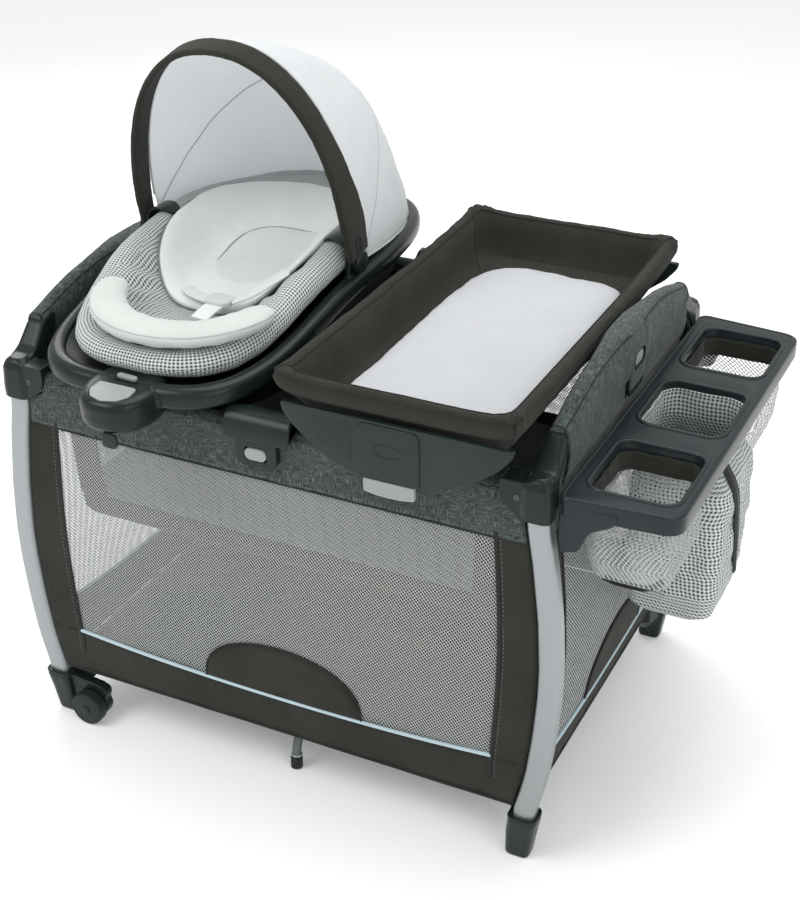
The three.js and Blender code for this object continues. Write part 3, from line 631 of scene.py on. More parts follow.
def bead(name, loop, radius, finish, count=8, up=Z, radius_up=None):
    """A cord round a closed loop."""
    return sweep(name, loop, circle(radius, count, radius_up), finish, up, closed=True)


def lathe(name, profile, centre, axes, finish, count, **shape):
    """Rings of (radius, distance along axes[2]); axes[0] and axes[1] span each ring."""
    first, second, axis = (vec(*each) for each in axes)
    angle = turn(count)[:, None]
    rings = [centre + radius * (np.cos(angle) * first + np.sin(angle) * second) + dist * axis
             for radius, dist in profile]
    return surface(name, rings, finish, wrap=True, **shape)


def bar_x(name, outline, start, end, finish):
    """A straight bar along x with a (y, z) outline."""
    rows = [points(x, outline[:, 0], outline[:, 1]) for x in (start, end)]
    return surface(name, rows, finish, wrap=True)


# Where a plate goes: its outline lies across the named axis, its thickness runs along it.
def onto_x(x, sign=1):
    return lambda pts: points(sign * (x + pts[:, 2]), pts[:, 0], pts[:, 1])


def onto_y(y, sign=1, x=0.0, z=0.0, shift=0.0):
    return lambda pts: points(x + pts[:, 0], sign * (y + pts[:, 2]) + shift, z + pts[:, 1])


def onto_z(z, x=0.0, y=0.0):
    return lambda pts: points(x + pts[:, 0], y + pts[:, 1], z + pts[:, 2])


def plate(name, outlines, thickness, edge, finish, place):
    """A plate with edges rounded by edge; the first outline is the rim, the others are holes.
    place maps (outline x, outline y, 0..thickness) to the yard."""
    curve = bpy.data.curves.new(name, "CURVE")
    curve.dimensions = "2D"
    curve.fill_mode = "BOTH"
    curve.extrude = max(1e-6, (thickness / 2 - edge) * MM)
    curve.bevel_depth = edge * MM
    curve.bevel_resolution = 3
    curve.offset = -edge * MM
    for outline in outlines:
        spline = curve.splines.new("POLY")
        spline.points.add(len(outline) - 1)
        for k, (x, y) in enumerate(outline):
            spline.points[k].co = (x * MM, y * MM, 0, 1)
        spline.use_cyclic_u = True
    holder = bpy.data.objects.new(name + "_c", curve)
    COL.objects.link(holder)
    bpy.context.view_layer.update()
    graph = bpy.context.evaluated_depsgraph_get()
    mesh = bpy.data.meshes.new_from_object(holder.evaluated_get(graph))
    bpy.data.objects.remove(holder)
    bpy.data.curves.remove(curve)
    verts = np.array([vert.co for vert in mesh.vertices]) / MM
    verts[:, 2] += thickness / 2
    faces = [tuple(poly.vertices) for poly in mesh.polygons]
    bpy.data.meshes.remove(mesh)
    uvs = [verts[i, :2] for face in faces for i in face]
    obj = mesh_object(name, place(verts), faces, finish, uvs, angle=32)
    fix_normals(obj, weld=True)
    set_sharp(obj, 32)
    return obj


def soften(name, objs, voxel, rounds, finish):
    """One moulded skin round overlapping solids: voxel remesh, then smoothing."""
    obj = join(name, objs) if len(objs) > 1 else objs[0]
    obj.name = name
    remesh = obj.modifiers.new("r", "REMESH")
    remesh.mode = "VOXEL"
    remesh.voxel_size = voxel * MM
    remesh.use_smooth_shade = True
    smooth = obj.modifiers.new("s", "SMOOTH")
    smooth.factor = 0.5
    smooth.iterations = rounds
    bake(obj)
    set_finish(obj, finish)
    obj.data.polygons.foreach_set("use_smooth", [True] * len(obj.data.polygons))
    obj.data.update()
    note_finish(obj, FINISH[finish][0])
    return obj


def copy_cad(node):
    obj = bpy.data.objects.new("c_" + node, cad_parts[node].data.copy())
    COL.objects.link(obj)
    set_finish(obj, "plastic")
    return obj


def mirror(obj, name, sign_x, sign_y):
    """A copy of a mesh object mirrored about the yard's middle."""
    mesh = obj.data.copy()
    copy = bpy.data.objects.new(name, mesh)
    COL.objects.link(copy)
    verts = np.zeros(len(mesh.vertices) * 3, np.float32)
    mesh.vertices.foreach_get("co", verts)
    verts = verts.reshape(-1, 3) * np.array([sign_x, sign_y, 1], np.float32)
    mesh.vertices.foreach_set("co", verts.ravel())
    if sign_x * sign_y < 0:
        mesh.flip_normals()
    mesh.update()
    mesh.name = name
    if "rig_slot" in obj.keys():
        copy["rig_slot"] = obj["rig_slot"]
    return copy


def stitches(name, path, pitch, length, up):
    """A row of small spindle-shaped threads along a path."""
    lengths = path_lengths(path)
    verts, faces = [], []
    for i in range(int(lengths[-1] / pitch)):
        start = (i + 0.5) * pitch - length / 2
        tail, head = (at_length(path, lengths, place) for place in (start, start + length))
        tangent = (head - tail) / np.linalg.norm(head - tail)
        side = np.cross(tangent, up)
        side /= np.linalg.norm(side) + 1e-12
        lift = np.cross(side, tangent)
        base = len(verts)
        for centre, radius in ((tail, 0.175), ((tail + head) / 2, 0.5), (head, 0.175)):
            for k in range(4):
                angle = pi / 2 * k + pi / 4
                verts.append(centre + radius * (math.cos(angle) * side + math.sin(angle) * lift))
        for ring in (base, base + 4):
            for k in range(4):
                this, following = ring + k, ring + (k + 1) % 4
                faces.append((this, following, following + 4, this + 4))
        faces.append((base + 3, base + 2, base + 1, base))
        faces.append((base + 8, base + 9, base + 10, base + 11))
    return mesh_object(name, verts, faces, "stitch")


def attach(obj, body, *nodes, squash=None):
    """Makes obj move with a body and stand in for CAD nodes."""
    if squash:
        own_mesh(obj)
    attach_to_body(obj, body)
    if nodes:
        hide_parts(*nodes)


# ------------------------------------------------------------------ shared dimensions
# (z, x) of the leg's middle
LEG_CURVE = [(0, 473), (92, 473), (110, 475), (145, 484), (185, 492), (260, 501), (340, 507),
             (400, 508), (490, 503), (590, 491), (650, 481), (672, 479), (800, 479)]
leg_x = smooth_curve(LEG_CURVE, stations=201, width=15)
LEG_Y, LEG_W, LEG_D = 355.0, 38.0, 34.0
CORNERS = {"front_left": (-1, -1), "front_right": (1, -1),
           "back_right": (1, 1), "back_left": (-1, 1)}
RAIL_R, RAIL_Z = 11, 710          # tube radius, height of the front and back rails
END_RAIL_X, END_RAIL_Z = 479, 770
SEAT_X, SEAT_Y = -222.0, -2.0
BOW_Y, BOW_Z, BOW_TILT = 0.0, 865.0, math.radians(-11.5)
# ends of a floor tube's centre line, (x, y) in the back right quarter
FLOOR_START, FLOOR_END = vec(38, 50), vec(448, 305)
FLOOR_DIR = (FLOOR_END - FLOOR_START) / math.hypot(*(FLOOR_END - FLOOR_START))
PUSH_BUTTON = (19.4, 10.4, 9.5)   # half width, half height, corner radius
LATCH_Z, END_LATCH_Z = 676, 787   # button heights


# ------------------------------------------------------------------ legs
def flute(outline, depth, width):
    """Two shallow grooves along each broad face, as on a drawn oval tube."""
    outline[:, 1] *= 1 - depth * np.exp(-((np.abs(outline[:, 0]) - 9.5) / width) ** 2)


def leg_tube():
    outline = rounded_rect(LEG_W / 2, LEG_D / 2, 11.0, 7)
    flute(outline, depth=0.035, width=2.2)
    outline = densify(outline, 2.2, math.floor)
    flute(outline, depth=0.05, width=1.7)
    heights = np.concatenate([np.arange(57, 700, 9.0), [719.5]])
    rows = [points(leg_x(z) + outline[:, 0], LEG_Y + outline[:, 1], z) for z in heights]
    return surface("leg_proto", rows, "silver", wrap=True, angle=50)


leg = leg_tube()
for corner, (sign_x, sign_y) in CORNERS.items():
    attach(mirror(leg, f"leg_tube_{corner}", sign_x, sign_y), f"frame_{corner}", f"leg_{corner}")
drop(leg)


# ------------------------------------------------------------------ corner caps and screws
def screw(name, centre, sign, radius):
    """A round screw head facing along y, with a raised cross."""
    axes = [vec(sign, 0, 0), vec(0, 0, -1), vec(0, sign, 0)]
    profile = [(radius, -1.5), (radius, 0.5), (radius * 0.9, 1.0), (radius * 0.6, 1.25),
               (radius * 0.3, 1.3)]
    parts = [lathe(name, profile, centre, axes, "screw", 20)]
    for along, across in (axes[:2], axes[1::-1]):
        verts = [centre + i * along * radius * 0.6 + j * across * radius * 0.13 + out * axes[2]
                 for out in (0.9, 1.42) for i in (-1, 1) for j in (-1, 1)]
        faces = [(0, 1, 3, 2), (4, 6, 7, 5), (0, 4, 5, 1), (2, 3, 7, 6), (0, 2, 6, 4),
                 (1, 5, 7, 3)]
        parts.append(mesh_object(name + "b", verts, faces, "black"))
    return join(name, parts)


cap = soften("cap_proto", [copy_cad("corner_cap_back_right")], 1.5, 6, "plastic")
for corner, (sign_x, sign_y) in CORNERS.items():
    attach(mirror(cap, f"corner_cap_{corner}_skin", sign_x, sign_y),
           f"frame_{corner}", f"corner_cap_{corner}")
    attach(screw(f"cap_screw_{corner}", vec(sign_x * 447, sign_y * 375.2, 708), sign_y, 4.6),
           f"frame_{corner}")
drop(cap)

# ------------------------------------------------------------------ feet and wheels
right_foot = soften("foot_proto", [copy_cad("foot_back_right")], 1.5, 5, "plastic")
wheel_foot = soften("wfoot_proto", [copy_cad("foot_back_left")], 1.5, 5, "plastic")
for corner, (sign_x, sign_y) in CORNERS.items():
    foot = right_foot if sign_x > 0 else wheel_foot
    attach(mirror(foot, f"foot_{corner}_skin", 1, sign_y), f"frame_{corner}", f"foot_{corner}")
    lip = level_ring(24.8, 22.2, 12, 89.6, mid_x=sign_x * 472, mid_y=sign_y * LEG_Y)
    attach(bead(f"foot_lip_{corner}", lip, 1.5, "plastic"), f"frame_{corner}")
drop(right_foot, wheel_foot)

WHEEL_CENTRE = vec(-402, 0, 33.5)
# (radius, distance from the yard's middle) round the wheel's section, then up the pin's dome
WHEEL_PROFILE = [
    (5.6, 366.8), (13, 366.8), (14, 368.6), (26.5, 368.6), (28, 367.7), (31.6, 367.9),
    (33, 369.6), (33, 386), (32.2, 388.4), (30.4, 389.8), (29.0, 389.9), (27.8, 389.0),
    (26.6, 389.3), (20, 390.0), (12, 390.4), (5.6, 390.4)]
PIN_PROFILE = [(9, 390.8), (9, 391.6), (8.4, 392.5), (6.5, 393.1), (3, 393.4)]
for side, sign in FRONT_BACK:
    axes = X, Z, (0, sign, 0)
    wheel = lathe(f"wheel_{side}_left_disc", WHEEL_PROFILE, WHEEL_CENTRE, axes, "wheel", 64,
                  loop=True, angle=35)
    attach(wheel, f"wheel_{side}_left", f"wheel_{side}_left")
    attach(lathe(f"wheel_pin_{side}", PIN_PROFILE, WHEEL_CENTRE, axes, "wheel", 32),
           f"frame_{side}_left")

# ------------------------------------------------------------------ rails, floor tubes, supports
for side, sign_y in FRONT_BACK:
    for end, sign_x in LEFT_RIGHT:
        path = points(sign_x * vec(21.5, 80, 200, 330, 448.5), sign_y * LEG_Y, RAIL_Z)
        rail = f"{side}_rail_{end}"
        attach(tube(f"{rail}_tube", path, RAIL_R, "steel", 24), rail, rail)
        # the end rails rise towards the middle of each half
        ys = np.concatenate([[21.5], np.linspace(30, 285, 24), [293.5]])
        rise = blur(np.interp(ys, [21, 42, 80, 215, 260, 294], [0, 0, 14, 14, 0, 0]), 5, 1.5)
        path = points(sign_x * END_RAIL_X, sign_y * ys, END_RAIL_Z + rise)
        rail = f"{end}_rail_{side}"
        attach(tube(f"{rail}_tube", path, RAIL_R, "steel", 24), rail, rail)

for corner, (sign_x, sign_y) in CORNERS.items():
    start, end = FLOOR_START - 7.6 * FLOOR_DIR, FLOOR_END + 7.6 * FLOOR_DIR
    line = start + (end - start) * vec(0, 0.25, 0.5, 0.75, 1)[:, None]
    path = points(sign_x * line[:, 0], sign_y * line[:, 1], 75)
    attach(tube(f"floor_tube_{corner}_steel", path, 10, "steel", 24),
           f"floor_tube_{corner}", f"floor_tube_{corner}")

# centre lines of the front support leg, its tip and the ring above the tip
SUPPORT_PATH = [(15, -72, 68), (15, -180, 68), (15, -283, 68), (15, -303, 65), (15, -316, 55),
                (15, -322, 40), (15, -324, 18), (15, -325, 5)]
SUPPORT_TIP = [(15, -323.7, 24), (15, -324.4, 12), (15, -325, 2)]
SUPPORT_RING = vec((15, -322.6, 30), (15, -323.2, 26))
for side, sign in FRONT_BACK:
    half_turn = vec(-sign, -sign, 1)
    attach(tube(f"support_leg_{side}_tube", smooth_path(SUPPORT_PATH, 46) * half_turn, 8.5,
                "steel", 24), f"support_{side}", f"support_leg_{side}")
    attach(tube(f"support_tip_{side}", smooth_path(SUPPORT_TIP, 8) * half_turn, 11,
                "black", 24), f"support_{side}")
    attach(tube(f"support_ring_{side}", SUPPORT_RING * half_turn, 10.2, "button", 24),
           f"support_{side}")
attach(soften("hub_skin", [copy_cad("hub")], 1.6, 5, "plastic"), "hub", "hub")

# ------------------------------------------------------------------ latches
latch = copy_cad("latch_back")
rounding = plate("round_cut", [rounded_rect(38.5, 35.5, 20, mid_y=687)], 120, 0.5, "plastic",
                 onto_y(300))
cut(latch, rounding, "INTERSECT")
back_latch = soften("latch_back_skin", [latch], 1.2, 4, "plastic")
front_latch = mirror(back_latch, "latch_front_skin", 1, -1)
attach(back_latch, "latch_back", "latch_back")
attach(front_latch, "latch_front", "latch_front")
right_latch = soften("latch_right_skin", [copy_cad("latch_right")], 1.2, 4, "plastic")
left_latch = mirror(right_latch, "latch_left_skin", -1, 1)
attach(right_latch, "latch_right", "latch_right")
attach(left_latch, "latch_left", "latch_left")
for sides, height, thickness, onto, out in ((FRONT_BACK, LATCH_Z, 8.2, onto_y, 373.9),
                                            (LEFT_RIGHT, END_LATCH_Z, 4.6, onto_x, 501.5)):
    for side, sign in sides:
        button = f"latch_button_{side}"
        pad = plate(f"{button}_pad", [rounded_rect(*PUSH_BUTTON, mid_y=height)], thickness, 1.4,
                    "button", onto(out, sign))
        attach(pad, button, button)


# ------------------------------------------------------------------ sewn walls
NET_LOW, NET_HIGH = 186, 622      # heights of the net opening


class Wall:
    """A wall plane: s runs along the wall, z up, out outwards."""
    def __init__(self, side, seed):
        self.side, self.seed = side, seed
        self.end = side in ("left", "right")
        self.sign = -1 if side in ("front", "left") else 1
        self.opening = 288 if self.end else 409
        self.body = {"front": "frame_front_left", "left": "frame_front_left",
                     "right": "frame_front_right", "back": "frame_back_left"}[side]
        if self.end:
            self.along, self.outward = Y, X
            self.squash = ("fold", (0, 1, 0), (0, -0.355, 0), 0.382)
        else:
            self.along, self.outward = X, Y
            self.squash = ("fold", (1, 0, 0), (-0.479, 0, 0), 0.263)

    def half(self, z):
        return np.full(np.shape(z), 335.0) if self.end else leg_x(z) - 21.0

    def at(self, s, z, out):
        if self.end:
            return points(self.sign * (leg_x(z) - 0.5 + out), s, z)
        return points(s, self.sign * (360.5 + out), z)

    def opening_at(self, z):
        """Half width of the net opening, which widens a little at mid height."""
        share = (z - NET_LOW) / (NET_HIGH - NET_LOW)
        return self.opening + 10 * np.sin(pi * np.clip(share, 0, 1))

    def net_bottom(self, s):
        """Height of the net's lower edge, which hangs lower in the middle."""
        return 197 - 17 * (1 - np.clip(np.abs(s) / self.opening, 0, 1) ** 2.2)

    def ripple(self, s, z, depth, seed):
        return depth * lumps(points(s, z, 0.0), 70, self.seed + seed)

    def attach(self, obj, *nodes):
        attach(obj, self.body, *nodes, squash=self.squash)


def wall_net(wall):
    heights = np.linspace(NET_LOW - 2, NET_HIGH + 4, 28)
    s = np.linspace(-1, 1, 60) * (wall.opening_at(heights)[:, None] + 4)
    z = np.repeat(heights[:, None], 60, 1)
    z[0] = wall.net_bottom(s[0]) - 3
    bulge = np.cos(pi * s / (2 * wall.opening)) * np.sin(pi * (z - 180) / 450)
    out = -0.6 + 1.6 * bulge * (0.5 if wall.end else 1)
    obj = surface(f"wall_{wall.side}_net", wall.at(s, z, out), "net", uv=(s, heights))
    wall.attach(thick(obj, 0.5), f"wall_{wall.side}")


def wall_strip(wall, tag, sign):
    """The dark strip beside a leg, with the binding and stitches on its net edge."""
    z = np.linspace(150, 632, 44)
    inner = wall.opening_at(z)
    s = sign * (inner[:, None] + (wall.half(z) - inner)[:, None] * np.arange(9) / 8)
    rows = z[:, None]
    out = 0.4 + wall.ripple(s, rows, 1.0, sign)
    obj = surface(f"wall_{wall.side}_strip_{tag}", wall.at(s, rows, out), "dark")
    wall.attach(thick(obj, 2.0), f"wall_{wall.side}")
    wall.attach(sweep(f"wall_{wall.side}_binding_{tag}", wall.at(sign * (inner + 1.5), z, 1.6),
                      rounded_rect(1.6, 3.4, 1.4, 3), "binding", up=wall.along))
    wall.attach(stitches(f"wall_{wall.side}_stitch_{tag}", wall.at(sign * (inner + 9), z, 1.75),
                         pitch=8, length=4.6, up=wall.outward))


def wall_skirt(wall):
    """The gathered strip below the net with its rolled hem, pale piping and dark cord."""
    low, high = 105, 192
    rows = vec(low, 112, 124, 138, 152, 166, 180, high)[:, None]
    share = np.linspace(-1, 1, 120)
    s = share * (wall.half(rows) - 1)
    z = low + (rows - low) / (high - low) * (wall.net_bottom(s[0]) - low)
    gather = 1.3 * np.sin(s / 7.5 + 2 * np.sin(s / 40)) * np.clip((z - 120) / 60, 0, 1)
    out = 0.2 + gather * 0.6 + wall.ripple(s, z, 1.6, 9)
    obj = surface(f"wall_{wall.side}_skirt", wall.at(s, z, out), "dark")
    wall.attach(thick(obj, 2.0), f"wall_{wall.side}")
    hem = wall.at(share * (wall.half(114) - 3), 107, 1.0)
    wall.attach(tube(f"wall_{wall.side}_hem", hem, 3.0, "binding", 10))
    s = np.linspace(-1, 1, 90) * (wall.opening + 2)
    bottom = wall.net_bottom(s)
    wall.attach(tube(f"wall_{wall.side}_piping", wall.at(s, bottom, 2.0), 3.4, "piping", 12))
    wall.attach(tube(f"wall_{wall.side}_cord", wall.at(s, bottom - 5.4, 1.4), 1.8, "binding", 8))


def wall_band(wall):
    """The heather band under the rail, with its lower edge and stitches."""
    low, high = NET_HIGH - 2, (777 if wall.end else 714)
    rows = np.linspace(low, high, 16)[:, None]
    share = np.linspace(-1, 1, 110)
    if wall.end:
        s = share * np.interp(rows, [620, 668, 700, 777], [334, 312, 300, 286])
        lift = 14 * np.clip(1 - (np.abs(s) / 250) ** 4, 0, 1)
        z = rows + lift * ((rows - low) / (high - low)) ** 1.5
        out = np.interp(z, [620, 680, 700, 725, 760, 800], [1.0, 3.0, 12.0, 18.0, 18.0, 14.0])
        out = np.where(z > 655, out, 1.0)
    else:
        widths = [wall.half(620) - 2, wall.half(672) - 2, 424, 424]
        s = share * np.interp(rows, [620, 672, 690, 714], widths)
        z = np.repeat(rows, len(share), 1)
        out = np.interp(z, [620, 640, 690, 714], [1.0, 2.0, 7.5, 9.0])
    out = out + wall.ripple(s, z, 1.1, 20)
    obj = surface(f"wall_{wall.side}_band", wall.at(s, z, out), "heather")
    wall.attach(thick(obj, 2.4), f"wall_{wall.side}")
    edge = wall.at(s[0], z[0] + 1.2, 1.8)
    wall.attach(tube(f"wall_{wall.side}_band_edge", edge, 1.9, "binding", 8))
    line = wall.at(s[0] * 0.995, z[0] + 7.5, 2.6 if wall.end else 2.7)
    wall.attach(stitches(f"wall_{wall.side}_band_stitch", line, pitch=7, length=4.4,
                         up=wall.outward))


def wall_patch(wall, middle, half_width):
    """A half-oval cloth patch standing on the net's lower edge."""
    radius = np.linspace(0, 1, 8)[:, None]
    angle = np.linspace(0, pi, 48)
    s = middle + half_width * np.cos(angle) * radius
    z = wall.net_bottom(s) + 1 + 106 * np.abs(np.sin(angle)) ** 0.8 * radius
    wall.attach(thick(surface(f"wall_{wall.side}_patch", wall.at(s, z, 2.0), "dark"), 1.6))
    edge = wall.at(s[-1], z[-1], 2.8)
    wall.attach(tube(f"wall_{wall.side}_patch_edge", edge, 1.7, "binding", 8))


walls = {side: Wall(side, seed) for side, seed in
         (("front", 1.0), ("back", 2.0), ("left", 3.0), ("right", 4.0))}
for wall in walls.values():
    wall_net(wall)
    wall_strip(wall, "a", -1)
    wall_strip(wall, "b", 1)
    wall_skirt(wall)
    wall_band(wall)
wall_patch(walls["front"], middle=15, half_width=155)
wall_patch(walls["right"], middle=0, half_width=140)


# ------------------------------------------------------------------ heather sleeves on the rails
def sleeve_top(y):
    return np.interp(y, [0, 60, 120, 180, 230, 270, 300], [846, 845, 840, 831, 818, 805, 797])


def rail_sleeve(side, sign_y, end, sign_x):
    xs = np.linspace(36, 424, 60)
    path = points(sign_x * xs, sign_y * LEG_Y, RAIL_Z)
    swell = 1 + 0.03 * np.sin(xs / 17) + 0.02 * np.sin(xs / 6.1)
    profile = swell[:, None, None] * circle(15.2, 22, 14.6)
    attach(sweep(f"{side}_sleeve_{end}", path, profile, "heather"), f"{side}_rail_{end}")


def end_sleeve(side, sign_y, end, sign_x):
    """A tall padded arch over half an end rail, two seams along it and a collar at the corner."""
    body = f"{end}_rail_{side}"
    squash = ("fold", (0, 0, 1), (0, 0, 0.770), 0.36)
    ys = np.linspace(33, 297, 54)
    low = np.interp(ys, [0, 60, 200, 260, 300], [752, 752, 752, 750, 750])
    half_z = (sleeve_top(ys) - low) / 2
    path = points(sign_x * 480.0, sign_y * ys, low + half_z)
    half_x = np.interp(ys, [33, 70, 130, 250, 297], [26.6, 24.0, 20.0, 18.5, 15.6])
    # exponents that make the section squarer near the middle of the rail
    power_x = np.interp(ys, [33, 130], [0.46, 0.8])
    power_z = np.interp(ys, [33, 130], [0.74, 1.0])
    unit = circle(1, 36)
    wavy = half_x + 0.4 * np.sin(ys / 15) + 0.3 * np.sin(ys / 6.3)
    profile = np.stack([signed_power(unit[:, 0], power_x[:, None]) * wavy[:, None],
                        signed_power(unit[:, 1], power_z[:, None]) * half_z[:, None]], -1)
    attach(sweep(f"{end}_sleeve_{side}", path, profile, "heather"), body, squash=squash)
    for degrees, tag in ((56, "outer"), (124, "inner")):
        angle = math.radians(degrees)
        seam = path + points(sign_x * signed_power(math.cos(angle), power_x) * (half_x + 0.3), 0,
                             math.sin(angle) ** power_z * half_z + 0.3)
        attach(tube(f"{end}_sleeve_seam_{tag}_{side}", seam, 1.3, "seam_dark", 8), body,
               squash=squash)
    path = points(sign_x * 480, sign_y * vec(292, 299), low[-1] + half_z[-1])
    profile = np.column_stack([signed_power(unit[:, 0], 0.8) * 16.8,
                               unit[:, 1] * (half_z[-1] + 1.2)])
    attach(sweep(f"{end}_sleeve_collar_{side}", path, profile, "binding"), body, squash=squash)


def middle_sleeve(end, sign):
    """The middle of an end sleeve, over the latch, with an opening for the button."""
    y = np.linspace(-37, 37, 17)[:, None]
    low, high = 722.0, sleeve_top(np.abs(y))
    unit = circle(1, 56)
    half_x = 27.6 - 1.2 * (np.abs(y) / 37) ** 6
    rows = points(sign * (479.5 + signed_power(unit[:, 0], 0.42) * half_x), y,
                  (low + high) / 2 + signed_power(unit[:, 1], 0.72) * (high - low) / 2)
    obj = surface(f"{end}_sleeve_middle", rows, "heather", wrap=True)
    opening = (25, 15, 12)
    cut(obj, plate("latch_opening", [rounded_rect(*opening, mid_y=END_LATCH_Z)], 30, 0.5,
                   "plastic", onto_x(503.4, sign)))
    set_finish(obj, "heather")
    set_sharp(obj, 50)
    attach(obj, f"latch_{end}", squash=("fold", (0, 0, 1), (0, 0, 0.728), 0.35))
    rim = rounded_rect(*opening, seg=8, mid_y=END_LATCH_Z)
    attach(bead(f"{end}_latch_opening_rim", points(sign * 506.6, rim[:, 0], rim[:, 1]), 1.4,
                "plastic", up=X), f"latch_{end}")


for side, sign_y in FRONT_BACK:
    for end, sign_x in LEFT_RIGHT:
        rail_sleeve(side, sign_y, end, sign_x)
        end_sleeve(side, sign_y, end, sign_x)
for end, sign in LEFT_RIGHT:
    middle_sleeve(end, sign)


# ------------------------------------------------------------------ floor
def floor_quarter(corner, sign_x, sign_y):
    """A quarter of the floor cloth, on its own tube, rounded at the outer corner."""
    x, y = np.meshgrid(np.linspace(0, 474, 20), np.linspace(0, 359, 20), indexing="ij")
    over_x, over_y = np.maximum(x - 420, 0), np.maximum(y - 311, 0)
    reach = np.maximum(np.hypot(over_x, over_y), 1e-6)
    pull = 1 - (np.maximum(over_x, over_y) / reach) ** 2
    pts = points(sign_x * (x - over_x * pull), sign_y * (y - over_y * pull), 102)
    pts[..., 2] += 0.5 * lumps(pts, 90, 5.0)
    obj = thick(surface(f"floor_{corner}", pts, "floor"), 3.4)
    normal = (-sign_x * FLOOR_DIR[1], sign_y * FLOOR_DIR[0], 0)
    attach(obj, f"floor_tube_{corner}", "floor_panel",
           squash=("fold", normal, (sign_x * 0.243, sign_y * 0.1775, 0.102), 0.3))


for corner, (sign_x, sign_y) in CORNERS.items():
    floor_quarter(corner, sign_x, sign_y)


# ------------------------------------------------------------------ bassinet insert
# z, half x, half y, corner radius of its outer shape
BASSINET = vec((428, 416, 308, 30), (436, 424, 316, 34), (690, 436, 326, 36))
NET_CORDS = (("low", 472), ("high", 602))


def bassinet_size(z):
    return [np.interp(z, BASSINET[:, 0], BASSINET[:, k]) for k in (1, 2, 3)]


def bassinet_ring(z, grow=0.0):
    half_x, half_y, radius = bassinet_size(z)
    return level_ring(half_x - 1.5 + grow, half_y - 1.5 + grow, radius, z, seg=10)


def dense_ring(z, grow=0.0):
    return densify(bassinet_ring(z, grow), 9.0)


def bassinet_band(name, heights, finish, ripple, seed, thickness=2.4):
    """A band of cloth round the bassinet; every row is a scaled copy of the ring at 560."""
    base = dense_ring(560.0)
    base_x, base_y, _ = bassinet_size(560)
    rows = []
    for z in heights:
        half_x, half_y, _ = bassinet_size(z)
        ring = base * vec((half_x - 1.5) / (base_x - 1.5), (half_y - 1.5) / (base_y - 1.5), 0)
        rows.append(ring + vec(0, 0, z))
    rows = np.array(rows)
    depth = np.abs(ripple * lumps(rows, 60, seed))
    outward = rows[..., :2] / np.linalg.norm(rows[..., :2], axis=2)[..., None]
    rows[..., :2] -= outward * depth[..., None]
    obj = surface(name, rows, finish, wrap=True, caps=False)
    attach(thick(obj, thickness), "bassinet", "bassinet")


def bassinet_corner(tag, sign_x, sign_y):
    """An upright strip of cloth over the net at a corner, 38 mm past the curve each way."""
    rows = []
    for z in np.linspace(468, 606, 8):
        half_x, half_y, radius = bassinet_size(z)
        row = []
        for place in np.linspace(-1, 1, 17):
            if abs(place) < 0.55:
                angle = pi / 4 + place / 0.55 * pi / 4
                row.append((half_x - radius + radius * math.cos(angle),
                            half_y - radius + radius * math.sin(angle)))
            elif place < 0:
                row.append((half_x, half_y - radius + (place + 0.55) / 0.45 * 38))
            else:
                row.append((half_x - radius - (place - 0.55) / 0.45 * 38, half_y))
        row = np.array(row) + 0.6
        rows.append(points(sign_x * row[:, 0], sign_y * row[:, 1], z))
    attach(thick(surface(f"bassinet_corner_{tag}", rows, "dark"), 2.0), "bassinet")


# (distance from the middle, z) round the section of the clip over a long rail
BASSINET_CLIP = vec(
    (326, 680), (330, 724), (336, 738), (350, 747), (368, 748), (380, 742), (387, 729),
    (388, 704), (384, 702), (383, 727), (376, 736.5), (366, 741), (352, 740.5), (342, 734),
    (336, 723), (332, 680))


def bassinet_clip(side, sign, start, end):
    """A moulded clip that hooks over a long rail, its outer lip cut away at the ends."""
    xs = np.concatenate([[start, start + 1.2, start + 4], np.linspace(start + 10, end - 10, 12),
                         [end - 4, end - 1.2, end]])
    out, height = BASSINET_CLIP.T
    lip = (height < 712) & (out > 370)
    rows = []
    for x in xs:
        trim = max(0.0, 9 - min(x - start, end - x)) / 9
        rows.append(points(x, sign * out, height + trim ** 2 * 10 * lip))
    obj = surface(f"bassinet_clip_{side}", rows, "plastic", wrap=True, angle=50)
    bevel(obj, 1.2, angle=40)
    attach(obj, "bassinet")


bassinet_band("bassinet_lower_cloth", np.linspace(430, 474, 6), "dark", ripple=1.0, seed=2.0)
bassinet_band("bassinet_net", np.linspace(470, 604, 10), "net_bassinet", ripple=0.6, seed=3.0,
              thickness=0.5)
bassinet_band("bassinet_upper_cloth", np.linspace(600, 690, 10), "dark", ripple=1.2, seed=4.0)
attach(bead("bassinet_rim_cord", dense_ring(690, 0.5), 3.6, "binding", 10), "bassinet")
for tag, z in NET_CORDS:
    attach(bead(f"bassinet_net_cord_{tag}", dense_ring(z, 1.2), 1.7, "binding"), "bassinet")
base_rows = [bassinet_ring(430, -2) * vec(k, k, 1) for k in (1.0, 0.7, 0.4, 0.1)]
base = surface("bassinet_base_cloth", base_rows, "dark", wrap=True, caps=False)
attach(thick(base, 3), "bassinet")
for k, signs in enumerate(((1, 1), (-1, 1), (-1, -1), (1, -1))):
    bassinet_corner(k, *signs)
bassinet_clip("front", -1, start=-54, end=66)
bassinet_clip("back", 1, start=-60, end=60)

# half x, half y, corner radius, z up the mattress's edge
MATTRESS_EDGE = [(396, 290, 26, 434.5), (402, 296, 29, 437), (404.5, 298.5, 30, 442),
                 (404.5, 298.5, 30, 452), (402, 296, 29, 457), (396, 290, 27, 460.0)]
rows = [level_ring(*station) for station in MATTRESS_EDGE]
